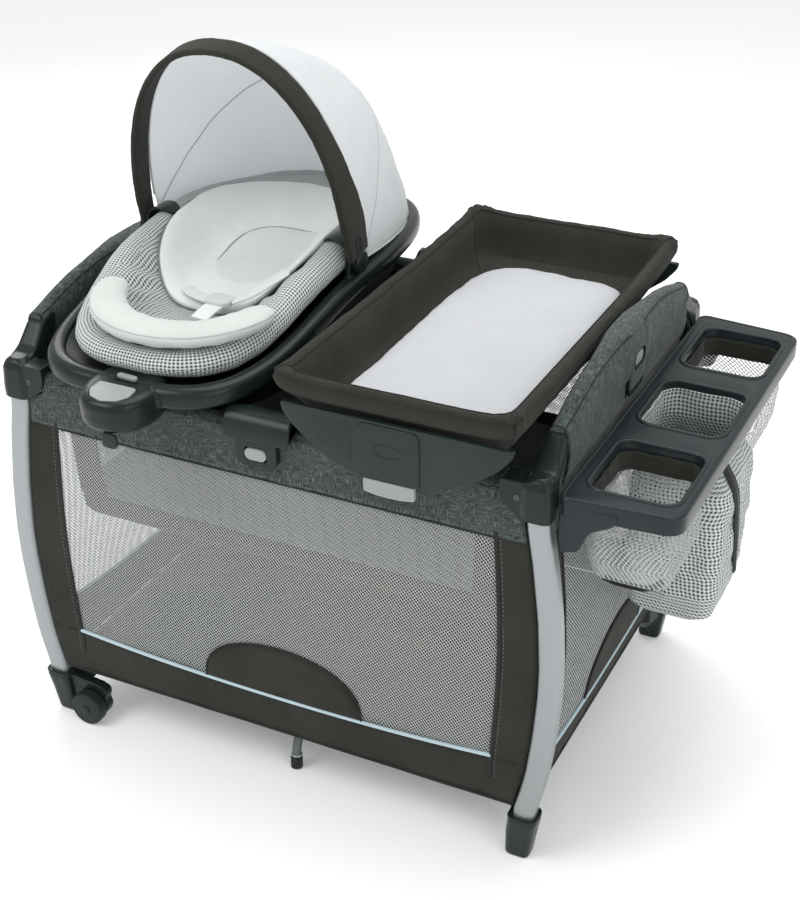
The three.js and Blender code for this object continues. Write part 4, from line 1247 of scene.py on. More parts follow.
# the top swells by 3 mm to the middle
for k in (0.96, 0.85, 0.7, 0.5, 0.3, 0.12):
    ring = level_ring(*MATTRESS_EDGE[-1]) * vec(k, k, 1)
    ring[:, 2] += 3.0 * (1 - k)
    rows.append(ring)
attach(surface("mattress_pad", rows, "mattress", wrap=True), "bassinet", "mattress")
for tag, z in (("top", 458.6), ("low", 436.4)):
    attach(bead(f"mattress_piping_{tag}", level_ring(400.5, 294.5, 29, z), 2.0, "binding"),
           "bassinet")

# ------------------------------------------------------------------ seat shell: ring, bowl, pod
# (y, z) curves of the cushion's rim and inside, and (y, rise) of the ring
rim_z = smooth_curve([(-394, 818), (-300, 826), (-200, 858), (-130, 882), (-50, 893), (0, 900),
                      (80, 904), (160, 898), (240, 885), (320, 880), (392, 870)])
inside_z = smooth_curve([(-400, 812), (-320, 812), (-225, 786), (-107, 796), (0, 820),
                         (60, 840), (150, 862), (260, 876), (400, 872)])
ring_rise = smooth_curve([(-432, 0), (-340, 6), (-250, 18), (-150, 38), (-60, 54), (0, 60),
                          (200, 60), (430, 50)])
# plan exponents (front, back) of the seat ring and of the cushion
RING_POWER, CUSHION_POWER = (3.8, 2.8), (3.0, 2.6)


def seat_loop(half_x, half_y, count, z, power=2.6, mid_x=SEAT_X, mid_y=SEAT_Y):
    """A superellipse in plan; z is a height or a function of y."""
    x, y = superellipse(turn(count), half_x, half_y, power)
    x, y = mid_x + x, mid_y + y
    return points(x, y, z(y) if callable(z) else z)


def seat_ring():
    # half x, half y, z (before the rise) round the ring's section
    section = [(212, 420, 747), (219, 427, 751), (222, 430, 757), (222.5, 430.5, 768),
               (221, 429, 776), (217, 425, 781.5), (210, 418, 784.5), (203, 411, 784.5),
               (197, 405, 782), (194.5, 402, 777), (194, 400, 752), (197, 403, 748)]
    rows = [seat_loop(half_x, half_y, 260, lambda y: z + ring_rise(y), RING_POWER)
            for half_x, half_y, z in section]
    return surface("seat_ring_p", rows, "ring", wrap=True, loop=True)


def seat_pod():
    """The rounded lobe at the front of the ring."""
    # half x, half y, z from the bottom up
    section = [(50, 60, 722), (57, 67, 726), (61.5, 71.5, 733), (63, 73, 742),
               (63.5, 73.5, 764), (61.5, 71.5, 773), (57, 67, 778), (48, 58, 781)]
    rows = []
    for half_x, half_y, z in section:
        ring = seat_loop(half_x, half_y, 90, z, 2.4, mid_x=-210, mid_y=-428)
        if z > 750:
            ring[:, 2] += np.clip((ring[:, 1] + 470) / 60, 0, 1) * 4
        rows.append(ring)
    return surface("lobe_p", rows, "ring", wrap=True)


# (y, z) of a post under a canopy pivot; (x, y) of the pocket for the release button
POST = [(-34, 826), (34, 826), (24, 848), (18, 872), (10, 883), (-10, 883), (-18, 872),
        (-24, 848)]
POCKET = [(-249, -466), (-247, -438), (-173, -438), (-171, -466), (-184, -485), (-210, -493),
          (-236, -485)]
posts = [bar_x(f"post_{sign}", round_poly(POST, 8),
               *sorted((SEAT_X + sign * 200, SEAT_X + sign * 210)), "ring")
         for sign in (1, -1)]
pocket = plate("pocket_cut", [round_poly(POCKET, [12, 9, 9, 12, 14, 18, 14])], 45, 0.4, "ring",
               onto_z(760.4))
shell = soften("seat_ring", [seat_ring(), seat_pod()] + posts, 2.0, 5, "ring")
cut(shell, pocket)
set_finish(shell, "ring")
set_sharp(shell, 50)
attach(shell, "seat", "seat_base")

# half x, half y, z, share of the ring's rise and of its squareness
BOWL = [(196, 402, 776, 1), (197, 345, 744, 0.35), (193, 316, 735, 0), (182, 303, 712, 0),
        (167, 286, 688, 0), (145, 258, 664, 0), (118, 227, 644, 0), (70, 150, 640, 0),
        (20, 50, 639.5, 0)]
rows = [seat_loop(half_x, half_y, 110, lambda y: z + share * ring_rise(y),
                  (2.6 + 1.2 * share, 2.6 + 0.2 * share)) for half_x, half_y, z, share in BOWL]
bowl = surface("seat_bowl", rows, "black", wrap=True, caps=False)
attach(thick(bowl, 3.0), "seat", "seat_base")
rows = [seat_loop(20, 50, 60, 639.6), seat_loop(14, 40, 60, 639.6)]
attach(thick(surface("seat_bowl_end", rows, "black", wrap=True), 2.0), "seat")


# ------------------------------------------------------------------ seat fittings
def button_rise(y):
    return np.clip((y + 492) / 50, 0, 1) * 4.0


RELEASE_BUTTON = [(-247.4, -466), (-245.4, -439.6), (-174.6, -439.6), (-172.6, -466),
                  (-185, -483.6), (-210, -491.2), (-235, -483.6)]
outline = round_poly(RELEASE_BUTTON, [12, 7, 7, 12, 14, 18, 14], 8)
button = plate("seat_button_pad", [outline], 14.5, 1.6, "button", lambda pts: points(
    pts[:, 0], pts[:, 1], 765.4 + pts[:, 2] + button_rise(pts[:, 1])))
attach(button, "seat_button", "seat_release_button")
# a raised line round the button's top, in a lighter plastic that paints its highlight
line = points(outline[:, 0], outline[:, 1], 780.0 + button_rise(outline[:, 1]))
line = line + (line.mean(0) - line) * vec(0.045, 0.07, 0) + vec(0, 0, -0.3)
attach(bead("seat_button_line", line, 0.9, "button_rim_highlight", 6), "seat_button")

SLIDER_X, SLIDER_Y, SLIDER_TURN = -208, -417.0, math.radians(-4)
cos, sin = math.cos(SLIDER_TURN), math.sin(SLIDER_TURN)
slider = [plate("vibration_slider", [rounded_rect(19, 5.5, 5.4, 8)], 6.4, 1.8, "button",
                lambda pts: points(SLIDER_X + pts[:, 0] * cos - pts[:, 1] * sin,
                                   SLIDER_Y + pts[:, 0] * sin + pts[:, 1] * cos,
                                   784.0 + pts[:, 2]))]
for offset in (-7, -2.3, 2.4, 7.1):
    rib = points(SLIDER_X + offset + vec(-1.6, 1.6), SLIDER_Y + vec(-3, 3), 790.4)
    slider.append(tube("rib", rib, 0.9, "button", 8))
attach(join("vibration_slider", slider), "vibration_switch", "vibration_switch")
track = level_ring(25.5, 7.4, 7.2, 784.9, mid_x=SLIDER_X + 1, mid_y=SLIDER_Y)
attach(bead("slider_track", track, 1.1, "black"), "seat")

# (distance from the seat's middle, z) of the saddle that carries the canopy hub
SADDLE = vec((206, 866), (204.5, 884), (197, 899), (182, 905.5), (166, 904.5), (152, 895))
for side, sign in RIGHT_LEFT:
    path = points(SEAT_X + sign * vec(208, 226), BOW_Y, BOW_Z)
    attach(tube(f"canopy_pin_{side}", path, 6, "black", 20), "seat")
    path = smooth_path(points(SEAT_X + sign * SADDLE[:, 0], 0, SADDLE[:, 1]), 26)
    widths = np.interp(np.linspace(0, 1, 26), [0, 0.4, 0.75, 0.93, 1], [20, 23, 21, 15, 8])
    profile = [rounded_rect(width, 2.2, 2.0, 4)[:, ::-1] for width in widths]
    attach(sweep(f"canopy_saddle_{side}", path, profile, "plastic", up=Y), "seat")
attach(plate("seat_pod_tab", [rounded_rect(14, 13, 8, mid_y=-1)], 5, 1.2, "plastic",
             onto_y(-497.5, x=-196, z=714)), "seat")


# ------------------------------------------------------------------ seat cushion
def seat_surface(x, y):
    """Height of the cushion's lining: the inside curve, rising to the rim at the edge."""
    power = np.where(y < SEAT_Y, *CUSHION_POWER)
    radius = np.abs((x - SEAT_X) / 168) ** power + np.abs((y - SEAT_Y) / 350) ** power
    share = np.clip((radius ** (1 / power) - 0.42) / 0.58, 0, 1)
    share = share * share * (3 - 2 * share)
    return inside_z(y) + (rim_z(y) - 8 - inside_z(y)) * share


def on_seat(x, y, height):
    return points(x, y, seat_surface(x, y) + height)


def seat_patch(name, place, finish, lift, rings, count, lump, thickness):
    """A soft patch lying on the seat. place is (middle x, y, half x, y, power), lift the height
    at (radius, angle), lump the (height, size, seed) of its unevenness."""
    mid_x, mid_y, half_x, half_y, power = place
    radius = np.linspace(0.02, 1, rings)[:, None]
    angle = turn(count)
    x, y = superellipse(angle, half_x, half_y, power)
    pts = on_seat(mid_x + radius * x, mid_y + radius * y, lift(radius, angle))
    height, size, seed = lump
    pts[..., 2] += height * lumps(pts, size, seed)
    # v follows the length of the seat's middle line
    ys = np.linspace(-400, 400, 200)
    slope = np.sqrt(1 + np.gradient(seat_surface(SEAT_X, ys), ys) ** 2)
    lengths = np.concatenate([[0], np.cumsum(slope[:-1] * np.diff(ys))])
    uv = np.stack([pts[..., 0] * 1.12, np.interp(pts[..., 1], ys, lengths)], -1)
    faces, uvs = [], []
    for i in range(rings - 1):
        for j in range(count):
            k = (j + 1) % count
            faces.append((i * count + j, i * count + k,
                          (i + 1) * count + k, (i + 1) * count + j))
            uvs += [uv[i, j], uv[i, k], uv[i + 1, k], uv[i + 1, j]]
    for j in range(count):
        k = (j + 1) % count
        faces.append((rings * count, k, j))
        uvs += [uv[0].mean(0), uv[0, k], uv[0, j]]
    verts = np.concatenate([pts.reshape(-1, 3), pts[0].mean(0)[None]])
    obj = mesh_object(name, verts, faces, finish, uvs)
    fix_normals(obj)
    return thick(obj, thickness, -1)


def lining_lift(radius, angle):
    """Quilted puckers round the front half."""
    pucker = np.exp(-((radius - 0.78) / 0.12) ** 2) * (np.sin(angle) < 0.1)
    return 3 - 9 * pucker * np.abs(np.sin(angle * 13)) ** 2.2


def bolster():
    """The padded roll round the cushion's rim, gathered on the inner side at the front."""
    angle, around = turn(260), turn(40)
    sin = np.sin(angle)
    x, y = superellipse(angle, 172, 367, CUSHION_POWER)
    path = points(SEAT_X + x, SEAT_Y + y, 0)
    y = path[:, 1]
    sides, _ = frames(path, closed=True)
    outward = -sides if sides[0] @ (path[0] - vec(SEAT_X, SEAT_Y, 0)) < 0 else sides
    half_width = np.interp(y, [-80, 60], [28.5, 25.5])
    half_height = np.interp(y, [-369, -250, 90, 250], [21, 27, 27, 38])
    gather = np.where(sin > 0.15, 1.0, 1 - 0.10 * np.abs(np.sin(angle * 13)) ** 1.5)
    depth = (0.20 * (1 - np.abs(np.cos(angle * 13)))
             + 0.05 * (1 - np.abs(np.cos(angle * 31)))) * np.where(sin < 0.15, 1, 0.35)
    pucker = 1 - np.clip(0.3 - 0.7 * np.cos(around), 0, 1) * depth[:, None]
    fold = 1 + 0.025 * np.sin(angle * 29 + 1.3) * (0.4 + 0.6 * (sin > 0))
    across = (half_width * fold)[:, None] * np.cos(around) * pucker
    upward = (half_height * (0.96 + 0.04 * gather))[:, None] * np.sin(around) * pucker
    centre = path + points(0, 0, rim_z(y) - half_height)
    pts = centre[:, None] + across[..., None] * outward[:, None] + upward[..., None] * vec(*Z)
    pts[..., 2] += 0.9 * lumps(pts, 40, 8.0)
    return surface("cushion_bolster", pts, "gingham", wrap=True, loop=True)


def cushion_outer():
    """The outer wall of the cushion, from the ring up to the bolster."""
    rows = []
    for k in np.linspace(0, 1, 14):
        swell, flare = math.sin(pi * k), 4 * (1 - k)
        ring = seat_loop(178 + 12 * swell + flare, 372 + 14 * swell + flare, 200, 0,
                         CUSHION_POWER)
        low = 783 + ring_rise(ring[:, 1])
        ring[:, 2] = low + (np.maximum(rim_z(ring[:, 1]) - 14, low + 4) - low) * k
        rows.append(ring)
    rows = np.array(rows)
    rows[..., 0] += 1.6 * lumps(rows, 60, 12.0)
    return thick(surface("cushion_outer", rows, "gingham", wrap=True, caps=False), 3)


lining = seat_patch("cushion_lining", (SEAT_X, SEAT_Y, 168, 350, CUSHION_POWER), "gingham",
                    lining_lift, rings=44, count=200, lump=(1.8, 55, 3.0), thickness=4)
attach(lining, "seat", "seat_cushion")
attach(bolster(), "seat", "seat_cushion")
attach(cushion_outer(), "seat", "seat_cushion")

# ------------------------------------------------------------------ body insert and harness
# middle x, middle y, half x, half y, power
INSERT = (-222, 42, 156, 212, 2.5)
PANEL = (-182, -2, 96, 92, 2.6)


def round_edge(radius, start):
    """1 inside, falling in a quarter circle from start to 0 at the edge."""
    share = np.clip((radius - start) / (1 - start), 0, 1)
    return np.sqrt(np.clip(1 - share ** 2, 0, 1))


attach(seat_patch("body_insert", INSERT, "insert", lambda radius, angle:
                  5 + 16 * round_edge(radius, 0.84) - 8 * np.exp(-(radius / 0.55) ** 4),
                  rings=34, count=150, lump=(2.4, 90, 5.0), thickness=6), "seat")
attach(seat_patch("body_insert_panel", PANEL, "insert_panel", lambda radius, angle:
                  14.5 + 5 * round_edge(radius, 0.9),
                  rings=22, count=110, lump=(1.2, 80, 6.0), thickness=5), "seat")
for tag, place, grow, height, finish in (("panel", PANEL, 0.5, 16.0, "seam"),
                                         ("edge", INSERT, 1, 6.0, "stitch")):
    mid_x, mid_y, half_x, half_y, power = place
    x, y = superellipse(turn(140), half_x + grow, half_y + grow, power)
    loop = on_seat(mid_x + x, mid_y + y, height)
    attach(bead(f"body_insert_piping_{tag}", loop, 1.5, finish), "seat")


def strap(name, knots, width, thickness, finish, body):
    profile = rounded_rect(width / 2, thickness / 2, thickness * 0.45, 3)
    attach(sweep(name, smooth_path(knots, 30), profile, finish), body)


# name: width, thickness, finish, (x, y, height above the seat) of its knots
HARNESS = {
    "crotch": (34, 5, "insert",
               [(-186, -236, 8), (-184, -216, 20), (-181, -194, 28), (-178, -176, 30)]),
    "left": (26, 4, "insert_panel",
             [(-292, -112, 14), (-264, -140, 24), (-232, -160, 29), (-200, -172, 31)]),
    "right": (26, 4, "insert_panel",
              [(-84, -112, 14), (-108, -138, 24), (-132, -158, 29), (-158, -172, 31)]),
}
for part, (width, thickness, finish, knots) in HARNESS.items():
    strap(f"harness_{part}", on_seat(*vec(*knots).T), width, thickness, finish, "seat")
BUCKLE_X, BUCKLE_Y = -179.0, -178.0
buckle_z = on_seat(BUCKLE_X, BUCKLE_Y, 29)[2]
attach(plate("harness_buckle", [rounded_rect(24, 19, 12)], 11, 3.5, "plush",
             onto_z(buckle_z, BUCKLE_X, BUCKLE_Y)), "seat")


# ------------------------------------------------------------------ plush body pillow
def body_pillow():
    """A flattened horseshoe, open to the back, with piping on its outer and inner edges."""
    count = 96
    angle = np.radians(np.linspace(186, 354, count))
    path = points(-204 + 148 * np.cos(angle), -206 + 152 * np.sin(angle), 0)
    path[:, 2] = 846 + 10 * np.clip((path[:, 1] + 340) / 130, 0, 1)
    share = np.linspace(0, 1, count)
    taper = np.clip(np.minimum(share, 1 - share) / 0.09, 0, 1)
    size = 0.22 + 0.78 * np.sqrt(np.clip(1 - (1 - taper) ** 2, 0, 1))
    size *= 0.80 + 0.20 * np.clip(np.sin(pi * share), 0, 1) ** 0.7
    unit = circle(1, 40)
    flat_top = unit[:, 1] * np.where(unit[:, 1] > 0, 0.78, 1.0)
    wavy = size * (1 + 0.02 * np.sin(share * 60))
    profile = np.stack([signed_power(unit[:, 0], 0.9) * 34 * size[:, None],
                        flat_top * 21.0 * wavy[:, None]], -1)
    obj = sweep("body_pillow_plush", path, profile, "plush")
    verts = np.array([vert.co for vert in obj.data.vertices]) / MM
    verts[:, 2] += 1.6 * lumps(verts, 34, 4.0)
    obj.data.vertices.foreach_set("co", (verts * MM).astype(np.float32).ravel())
    obj.data.update()
    attach(obj, "seat", "body_pillow")
    sides, ups = frames(path)
    for sign, tag in ((1, "outer"), (-1, "inner")):
        edge = path + sign * sides * (31.5 * size)[:, None] + ups * (5.5 * size)[:, None]
        attach(tube(f"body_pillow_piping_{tag}", edge[3:-3], 1.5, "seam", 8), "seat")


body_pillow()


# ------------------------------------------------------------------ canopy
def arch(angle, half_width, height, tilt, offset=0.0):
    """Points of an arch over the seat, left to right, tilted about its pivots.
    offset moves it across its own plane."""
    across, rise = superellipse(angle, half_width, height, 2.2)
    rise = np.abs(rise)
    return points(SEAT_X - across, BOW_Y + rise * math.sin(tilt) + offset * math.cos(tilt),
                  BOW_Z + rise * math.cos(tilt) - offset * math.sin(tilt))


def canopy_bow():
    """The wide cloth sleeve of the bow, broader at its right end."""
    count = 150
    share = np.linspace(0, 1, count)
    middle = arch(0.03 + (pi - 0.06) * share, 216.0, 373, BOW_TILT)
    wide = vec(0, math.cos(BOW_TILT), -math.sin(BOW_TILT))
    tangents = np.gradient(middle, axis=0)
    tangents /= np.linalg.norm(tangents, axis=1)[:, None]
    normals = np.cross(tangents, wide)
    normals /= np.linalg.norm(normals, axis=1)[:, None]
    ends = np.minimum(share, 1 - share)
    widths = 24.0 * np.interp(ends, [0, 0.03, 0.08, 0.15], [0.74, 0.88, 0.98, 1.0])
    flare = np.interp(1 - share, [0, 0.05, 0.12, 0.2], [1.75, 1.62, 1.22, 1.0])
    widths = np.where(share > 0.5, widths * flare, widths)
    rows = []
    for i, width in enumerate(widths):
        across, out = rounded_rect(width, 5.6, 5.3, 6).T
        fold = (0.55 * math.sin(i * 1.7) * math.sin(i * 0.37)
                + 0.9 * math.sin(i * 0.9) * (1 if ends[i] < 0.16 else 0.25))
        # a slight dome across the width
        dome = np.where(out > 0, 1.6 * (1 - (across / (width + 1e-6)) ** 2), 0)
        out = out * (1 + 0.06 * fold) + dome
        rows.append(middle[i] + across[:, None] * wide - out[:, None] * normals[i])
    rows = np.array(rows)
    rows += (1.5 * lumps(rows, 20, 9.0))[..., None] * vec(0.3, 0.2, 0.3)
    return surface("canopy_bow_sleeve", rows, "dark", wrap=True)


def canopy_cover():
    """The cover's mesh rows run from the bow at the front to the hem at the back."""
    rows_count, cols = 44, 76
    rows = []
    for share in np.arange(rows_count) / (rows_count - 1):
        tilt = BOW_TILT + share * math.radians(107)
        reach = float(np.interp(share, [0, 0.08, 0.2, 0.35, 0.52, 0.7, 0.85, 1.0],
                                [1.0, 0.965, 0.935, 0.93, 0.955, 0.985, 1.06, 1.19]))
        margin = 0.05 + 0.05 * (1 - share)
        angle = margin + (pi - 2 * margin) * np.linspace(0, 1, cols)
        rows.append(arch(angle, 214.3, 372 * reach, tilt, 29 * (1 - share) ** 2))
    rows = np.array(rows)
    outward = rows - vec(SEAT_X, BOW_Y + 60, BOW_Z + 60)
    outward /= np.linalg.norm(outward, axis=2)[..., None]
    dent = np.abs(5.5 * lumps(rows, 120, 15.0, octaves=2))
    # no dents at the held edges
    dent *= np.clip(np.sin(np.linspace(0, pi, cols)) * 3, 0, 1)
    dent *= np.clip(np.linspace(0, 1, rows_count) * 5, 0, 1)[:, None]
    rows = rows - outward * dent[..., None]
    obj = thick(surface("canopy_cover_cloth", rows, "white"), 1.6)
    bake(obj)
    return obj, rows


def stretch_canopy(obj):
    """Bakes a piece's placement into its mesh; it is not attached to any body."""
    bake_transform(obj)


# (radius, distance from the seat's middle)
CANOPY_HUB = [(8, 212.6), (19.4, 212.6), (20.4, 213.8), (20.4, 222.5), (18.6, 224.4), (16, 225),
              (8, 225)]
attach(canopy_bow(), "canopy", "canopy_bow")
for side, sign in RIGHT_LEFT:
    hub = lathe(f"canopy_hub_{side}", CANOPY_HUB, vec(SEAT_X, BOW_Y, BOW_Z),
                (Y, Z, (sign, 0, 0)), "plastic", 48, angle=30)
    attach(hub, "canopy")
    arm = plate(f"canopy_arm_{side}", [rounded_rect(13, 23, 10, mid_y=29)], 9, 2.2, "plastic",
                lambda pts: points(SEAT_X + sign * (213.5 + pts[:, 2]),
                                   BOW_Y + pts[:, 0] - pts[:, 1] * 0.20, BOW_Z + pts[:, 1]))
    attach(arm, "canopy")
cover, cover_rows = canopy_cover()
stretch_canopy(cover)
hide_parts("canopy_cover")
for tag, row, radius, finish in (("mid", 23, 1.5, "seam"), ("back", 43, 2.2, "white"),
                                 ("front", 0, 1.8, "seam")):
    stretch_canopy(tube(f"canopy_seam_{tag}", cover_rows[row], radius, finish, 8))

# ------------------------------------------------------------------ changer
CHANGER_X = 248.5
# half x, half y, corner radius, z: up the outside, over the rim and across the inside
TRAY = [
    (120, 300, 26, 744), (150, 335, 28, 746), (160, 346, 28, 752), (178, 362, 28, 776),
    (190, 377, 28, 796), (199, 393, 28, 806), (203.5, 400.5, 28, 815), (205, 402, 27, 826),
    (203, 400, 26, 835), (198, 395, 25, 841), (191, 388, 24, 842.5), (183, 380, 22, 839),
    (177, 373, 21, 831), (172, 367, 20, 818), (170, 362, 20, 800), (166, 356, 20, 782),
    (156, 346, 20, 772), (120, 300, 20, 769), (60, 160, 20, 769), (8, 20, 4, 769)]


def tray_points():
    rows = np.array([even_loop(rounded_rect(half_x, half_y, radius, 12, mid_x=CHANGER_X), z, 420)
                     for half_x, half_y, radius, z in TRAY])
    broad = lumps(rows, 75, 21.0)
    fine = lumps(rows, 20, 25.0)
    x, y = rows[..., 0] - CHANGER_X, rows[..., 1]
    # the rim is puckered and raised at its corners
    corner = np.exp(-(((np.abs(x) - 190) / 34) ** 2 + ((np.abs(y) - 388) / 34) ** 2))
    index = np.arange(len(TRAY))[:, None]
    rim = (index > 4) & (index < 15)
    pucker = corner * 3.2 * np.sin((x + y) / 3.4) * np.sign(fine + 0.2)
    depth = np.where(rim, 2.0 * broad + 0.5 * fine + pucker, 0.6 * broad)
    rows += points(x / 205 * 0.6, y / 402 * 0.6, 0.6) * depth[..., None]
    rows[..., 2] += corner * 5.0 * rim
    # the tray sits 13 mm forward of the middle and its back rim is raised a little
    rows[..., 2] += 8 * np.clip((rows[..., 1] - 150) / 225, 0, 1)
    rows[..., 1] = -13 + rows[..., 1] * 0.9676
    return rows


tray = tray_points()
attach(surface("changer_tray_cloth", tray, "dark", wrap=True), "changer", "changer_tray")
rim = tray[tray[..., 2].mean(axis=1).argmax()]
rim_x, rim_y = (rim - rim.mean(0))[:, :2].T
for k, (sign_x, sign_y) in enumerate(((1, 1), (1, -1), (-1, 1), (-1, -1))):
    seam = tray[:, np.argmax(sign_x * rim_x / 160 + sign_y * rim_y / 400)]
    apart = np.linalg.norm(np.diff(seam, axis=0), axis=1) > 0.5
    seam = seam[np.concatenate([[True], apart])]
    attach(tube(f"changer_mitre_{k}", seam, 1.3, "seam_dark", 6), "changer")
for row, tag in ((8, "outer"), (11, "inner")):
    attach(bead(f"changer_seam_{tag}", tray[row] + vec(0, 0, 0.8), 1.1, "seam_dark", 6),
           "changer")


def changer_pad():
    """The pad in the tray, more rounded at the back than at the front."""
    middle = vec(CHANGER_X + 12, -20)
    outline = round_poly([(CHANGER_X - 130, -322), (CHANGER_X + 160, -312),
                          (CHANGER_X + 150, 264), (CHANGER_X - 130, 292)],
                         [18, 18, 70, 150], 16)
    # scale of the outline, z, share of the top's unevenness, share of the edge's
    levels = vec(
        (0.94, 770, 0, 1), (0.985, 772, 0.2, 1), (1.0, 776, 0.6, 1), (0.997, 780, 0.8, 1),
        (0.98, 783.5, 1, 0.8), (0.945, 786.5, 1, 0.4), (0.88, 788.6, 1, 0), (0.76, 790, 1, 0),
        (0.6, 790.6, 1, 0), (0.44, 790.8, 1, 0), (0.28, 790.8, 1, 0), (0.12, 790.8, 1, 0))
    rows = np.array([even_loop(middle + (outline - middle) * scale, z, 220)
                     for scale, z in levels[:, :2]])
    broad = lumps(rows, 130, 31.0, octaves=2)
    fine = lumps(rows, 34, 33.0, octaves=2)
    rows[..., 2] += levels[:, 2:3] * (4.0 * broad + 0.9 * fine)
    outward = rows[..., :2] - middle
    outward /= np.linalg.norm(outward, axis=2)[..., None]
    rows[..., :2] += outward * (levels[:, 3:4] * 1.4 * fine)[..., None]
    return surface("changer_pad_cloth", rows, "pad", wrap=True)


attach(changer_pad(), "changer", "changer_pad")

# plates of a clip: thickness, edge, distance from the middle, (x, z) corners, corner radii
CLIP_PLATES = {
    "clip": (11, 2.6, 391,
             [(62, 797), (452, 797), (448, 784), (428, 760), (392, 732), (344, 708), (304, 699),
              (192, 699), (150, 712), (112, 736), (80, 764), (66, 782)],
             [4, 4, 20, 70, 70, 60, 20, 20, 60, 70, 70, 20]),
    "clip_mid": (6, 2.2, 399.0, [(196, 793), (301, 793), (301, 701), (196, 701)],
                 [16, 16, 3, 3]),
    "clip_l": (4, 1.6, 398.6,
               [(84, 790), (181, 790), (187, 776), (187, 712), (158, 720), (120, 744),
                (92, 770)], [8, 14, 10, 14, 40, 40, 20]),
    "clip_r": (4, 1.6, 398.6,
               [(432, 790), (316, 790), (310, 776), (310, 710), (342, 718), (384, 740),
                (418, 768)], [8, 14, 10, 14, 40, 40, 20]),
}
# (distance from the middle, z) of the hook behind a clip; (x, z) of the tab below it
CLIP_HOOK = vec((334, 700), (341, 700), (341, 727), (392, 727), (392, 741), (334, 741))
CLIP_TAB = round_poly([(204.5, 696.5), (291.5, 696.5), (291.5, 674), (270, 670.5),
                       (248, 669.6), (226, 670.5), (204.5, 674)], [2, 2, 3, 30, 30, 30, 3])


def changer_clip(side, sign, shift):
    """A fan-shaped clip outside a long rail; shift moves it along y."""
    parts = [plate(f"{part}_{side}", [round_poly(corners, radii, 8)], thickness, edge, "clip",
                   onto_y(out, sign, shift=shift))
             for part, (thickness, edge, out, corners, radii) in CLIP_PLATES.items()]
    oval = circle(24, 40, 11)
    loop = points(248 + oval[:, 0], sign * 404.8 + shift, 752 + oval[:, 1])
    parts.append(bead("clip_oval", loop, 1.1, "clip", up=Y))
    attach(join(f"changer_clip_{side}", parts), "changer", "changer_frame")
    hook = bar_x(f"changer_hook_{side}", CLIP_HOOK * vec(sign, 1) + vec(shift, 0), 188, 308,
                 "clip")
    bevel(hook, 1.5, angle=35)
    attach(hook, "changer")
    tab = f"changer_tab_{side}"
    attach(plate(f"{tab}_pad", [CLIP_TAB], 8, 1.4, "button", onto_y(394, sign, shift=shift)),
           tab, tab)
    # a raised line on the tab, in a lighter plastic that paints its highlight
    line = CLIP_TAB + (vec(248, 683) - CLIP_TAB) * vec(0.05, 0.14)
    attach(bead(f"{tab}_line", points(line[:, 0], sign * 402.0 + shift, line[:, 1]), 0.7,
                "button_rim_highlight", 6, up=Y), tab)


changer_clip("front", -1, shift=0.0)
changer_clip("back", 1, shift=-12.0)
for x in (207, 289):
    attach(sweep(f"changer_rail_{x}", points(x, vec(-337, 0, 329), 734.5),
                 rounded_rect(7, 5, 2, 4), "clip"), "changer")

# ------------------------------------------------------------------ organizer
ORGANIZER_X = 602
POUCHES = (("front", -230), ("middle", 0), ("back", 230))   # y of each opening
ORGANIZER_OUTLINE = round_poly([(692, 347), (506, 362), (506, -362), (692, -347)],
                               [32, 16, 16, 32], 10)
ARM = [(508, 706), (600, 704), (592, 682), (556, 664), (540, 626), (513, 620), (508, 640)]


def top_points(x, y, height):
    """Points above the organizer's top, which slopes down away from the yard."""
    return points(x, y, 716 - (x - 506) * 0.01 + height)


def opening_loop(y, grow, radius):
    loop = densify(rounded_rect(72.5 + grow, 84.5 + grow, radius, 8, ORGANIZER_X, y), 10)
    return top_points(loop[:, 0], loop[:, 1], 0.0)


def organizer_top():
    holes = [rounded_rect(72.5, 84.5, 27, 8, ORGANIZER_X, y)[::-1] for _, y in POUCHES]
    top = plate("organizer_top", [ORGANIZER_OUTLINE] + holes, 7, 2.4, "top",
                lambda pts: top_points(pts[:, 0], pts[:, 1], pts[:, 2] - 7.0))
    attach(top, "organizer", "organizer_tray")
    path = top_points(*densify(ORGANIZER_OUTLINE, 12).T, 0)
    inward = vec(ORGANIZER_X, 0, 0) - path
    attach(sweep("organizer_skirt", path + inward * vec(0.018, 0.006, 0),
                 rounded_rect(2.0, 13.5, 1.8, 4, mid_y=-16.5), "top", closed=True), "organizer")
    attach(bead("organizer_lip", path + inward * vec(0.035, 0.011, 0) + vec(0, 0, -0.6), 2.8,
                "top", 10, radius_up=2.0), "organizer")
    for tag, y in POUCHES:
        attach(bead(f"organizer_rim_{tag}", opening_loop(y, 1, 28) + vec(0, 0, -0.4), 4.0,
                    "top", 12, radius_up=2.6), "organizer")
        attach(sweep(f"organizer_well_{tag}", opening_loop(y, -1, 27),
                     rounded_rect(1.3, 12.5, 1.2, 3, mid_y=-13.5), "top", closed=True),
               "organizer")
    for tag, sign in FRONT_BACK:
        attach(plate(f"organizer_arm_{tag}", [round_poly(ARM, [4, 6, 20, 26, 12, 6, 6])], 20, 3,
                     "top", onto_y(338, sign)), "organizer")


organizer_top()

# ------------------------------------------------------------------ organizer bags
# middle x, half x, half y, z from the top down
SIDE_BAG = [(602, 69, 81, 700), (602, 67.5, 79.5, 684), (602, 67.5, 79.5, 662),
            (603, 72, 86, 630), (603, 70, 84, 590), (602, 62, 74, 556), (602, 46, 58, 544),
            (602, 20, 28, 541.5), (602, 3, 4, 541)]
MIDDLE_BAG = [(602, 69, 81, 702), (602, 67.5, 79.5, 684), (602, 67.5, 79.5, 655),
              (610, 82, 92, 612), (610, 83, 93, 560), (610, 82, 92, 480), (609, 79, 89, 410),
              (608, 72, 82, 368), (606, 56, 66, 351), (606, 26, 32, 347.5), (606, 3, 4, 347)]


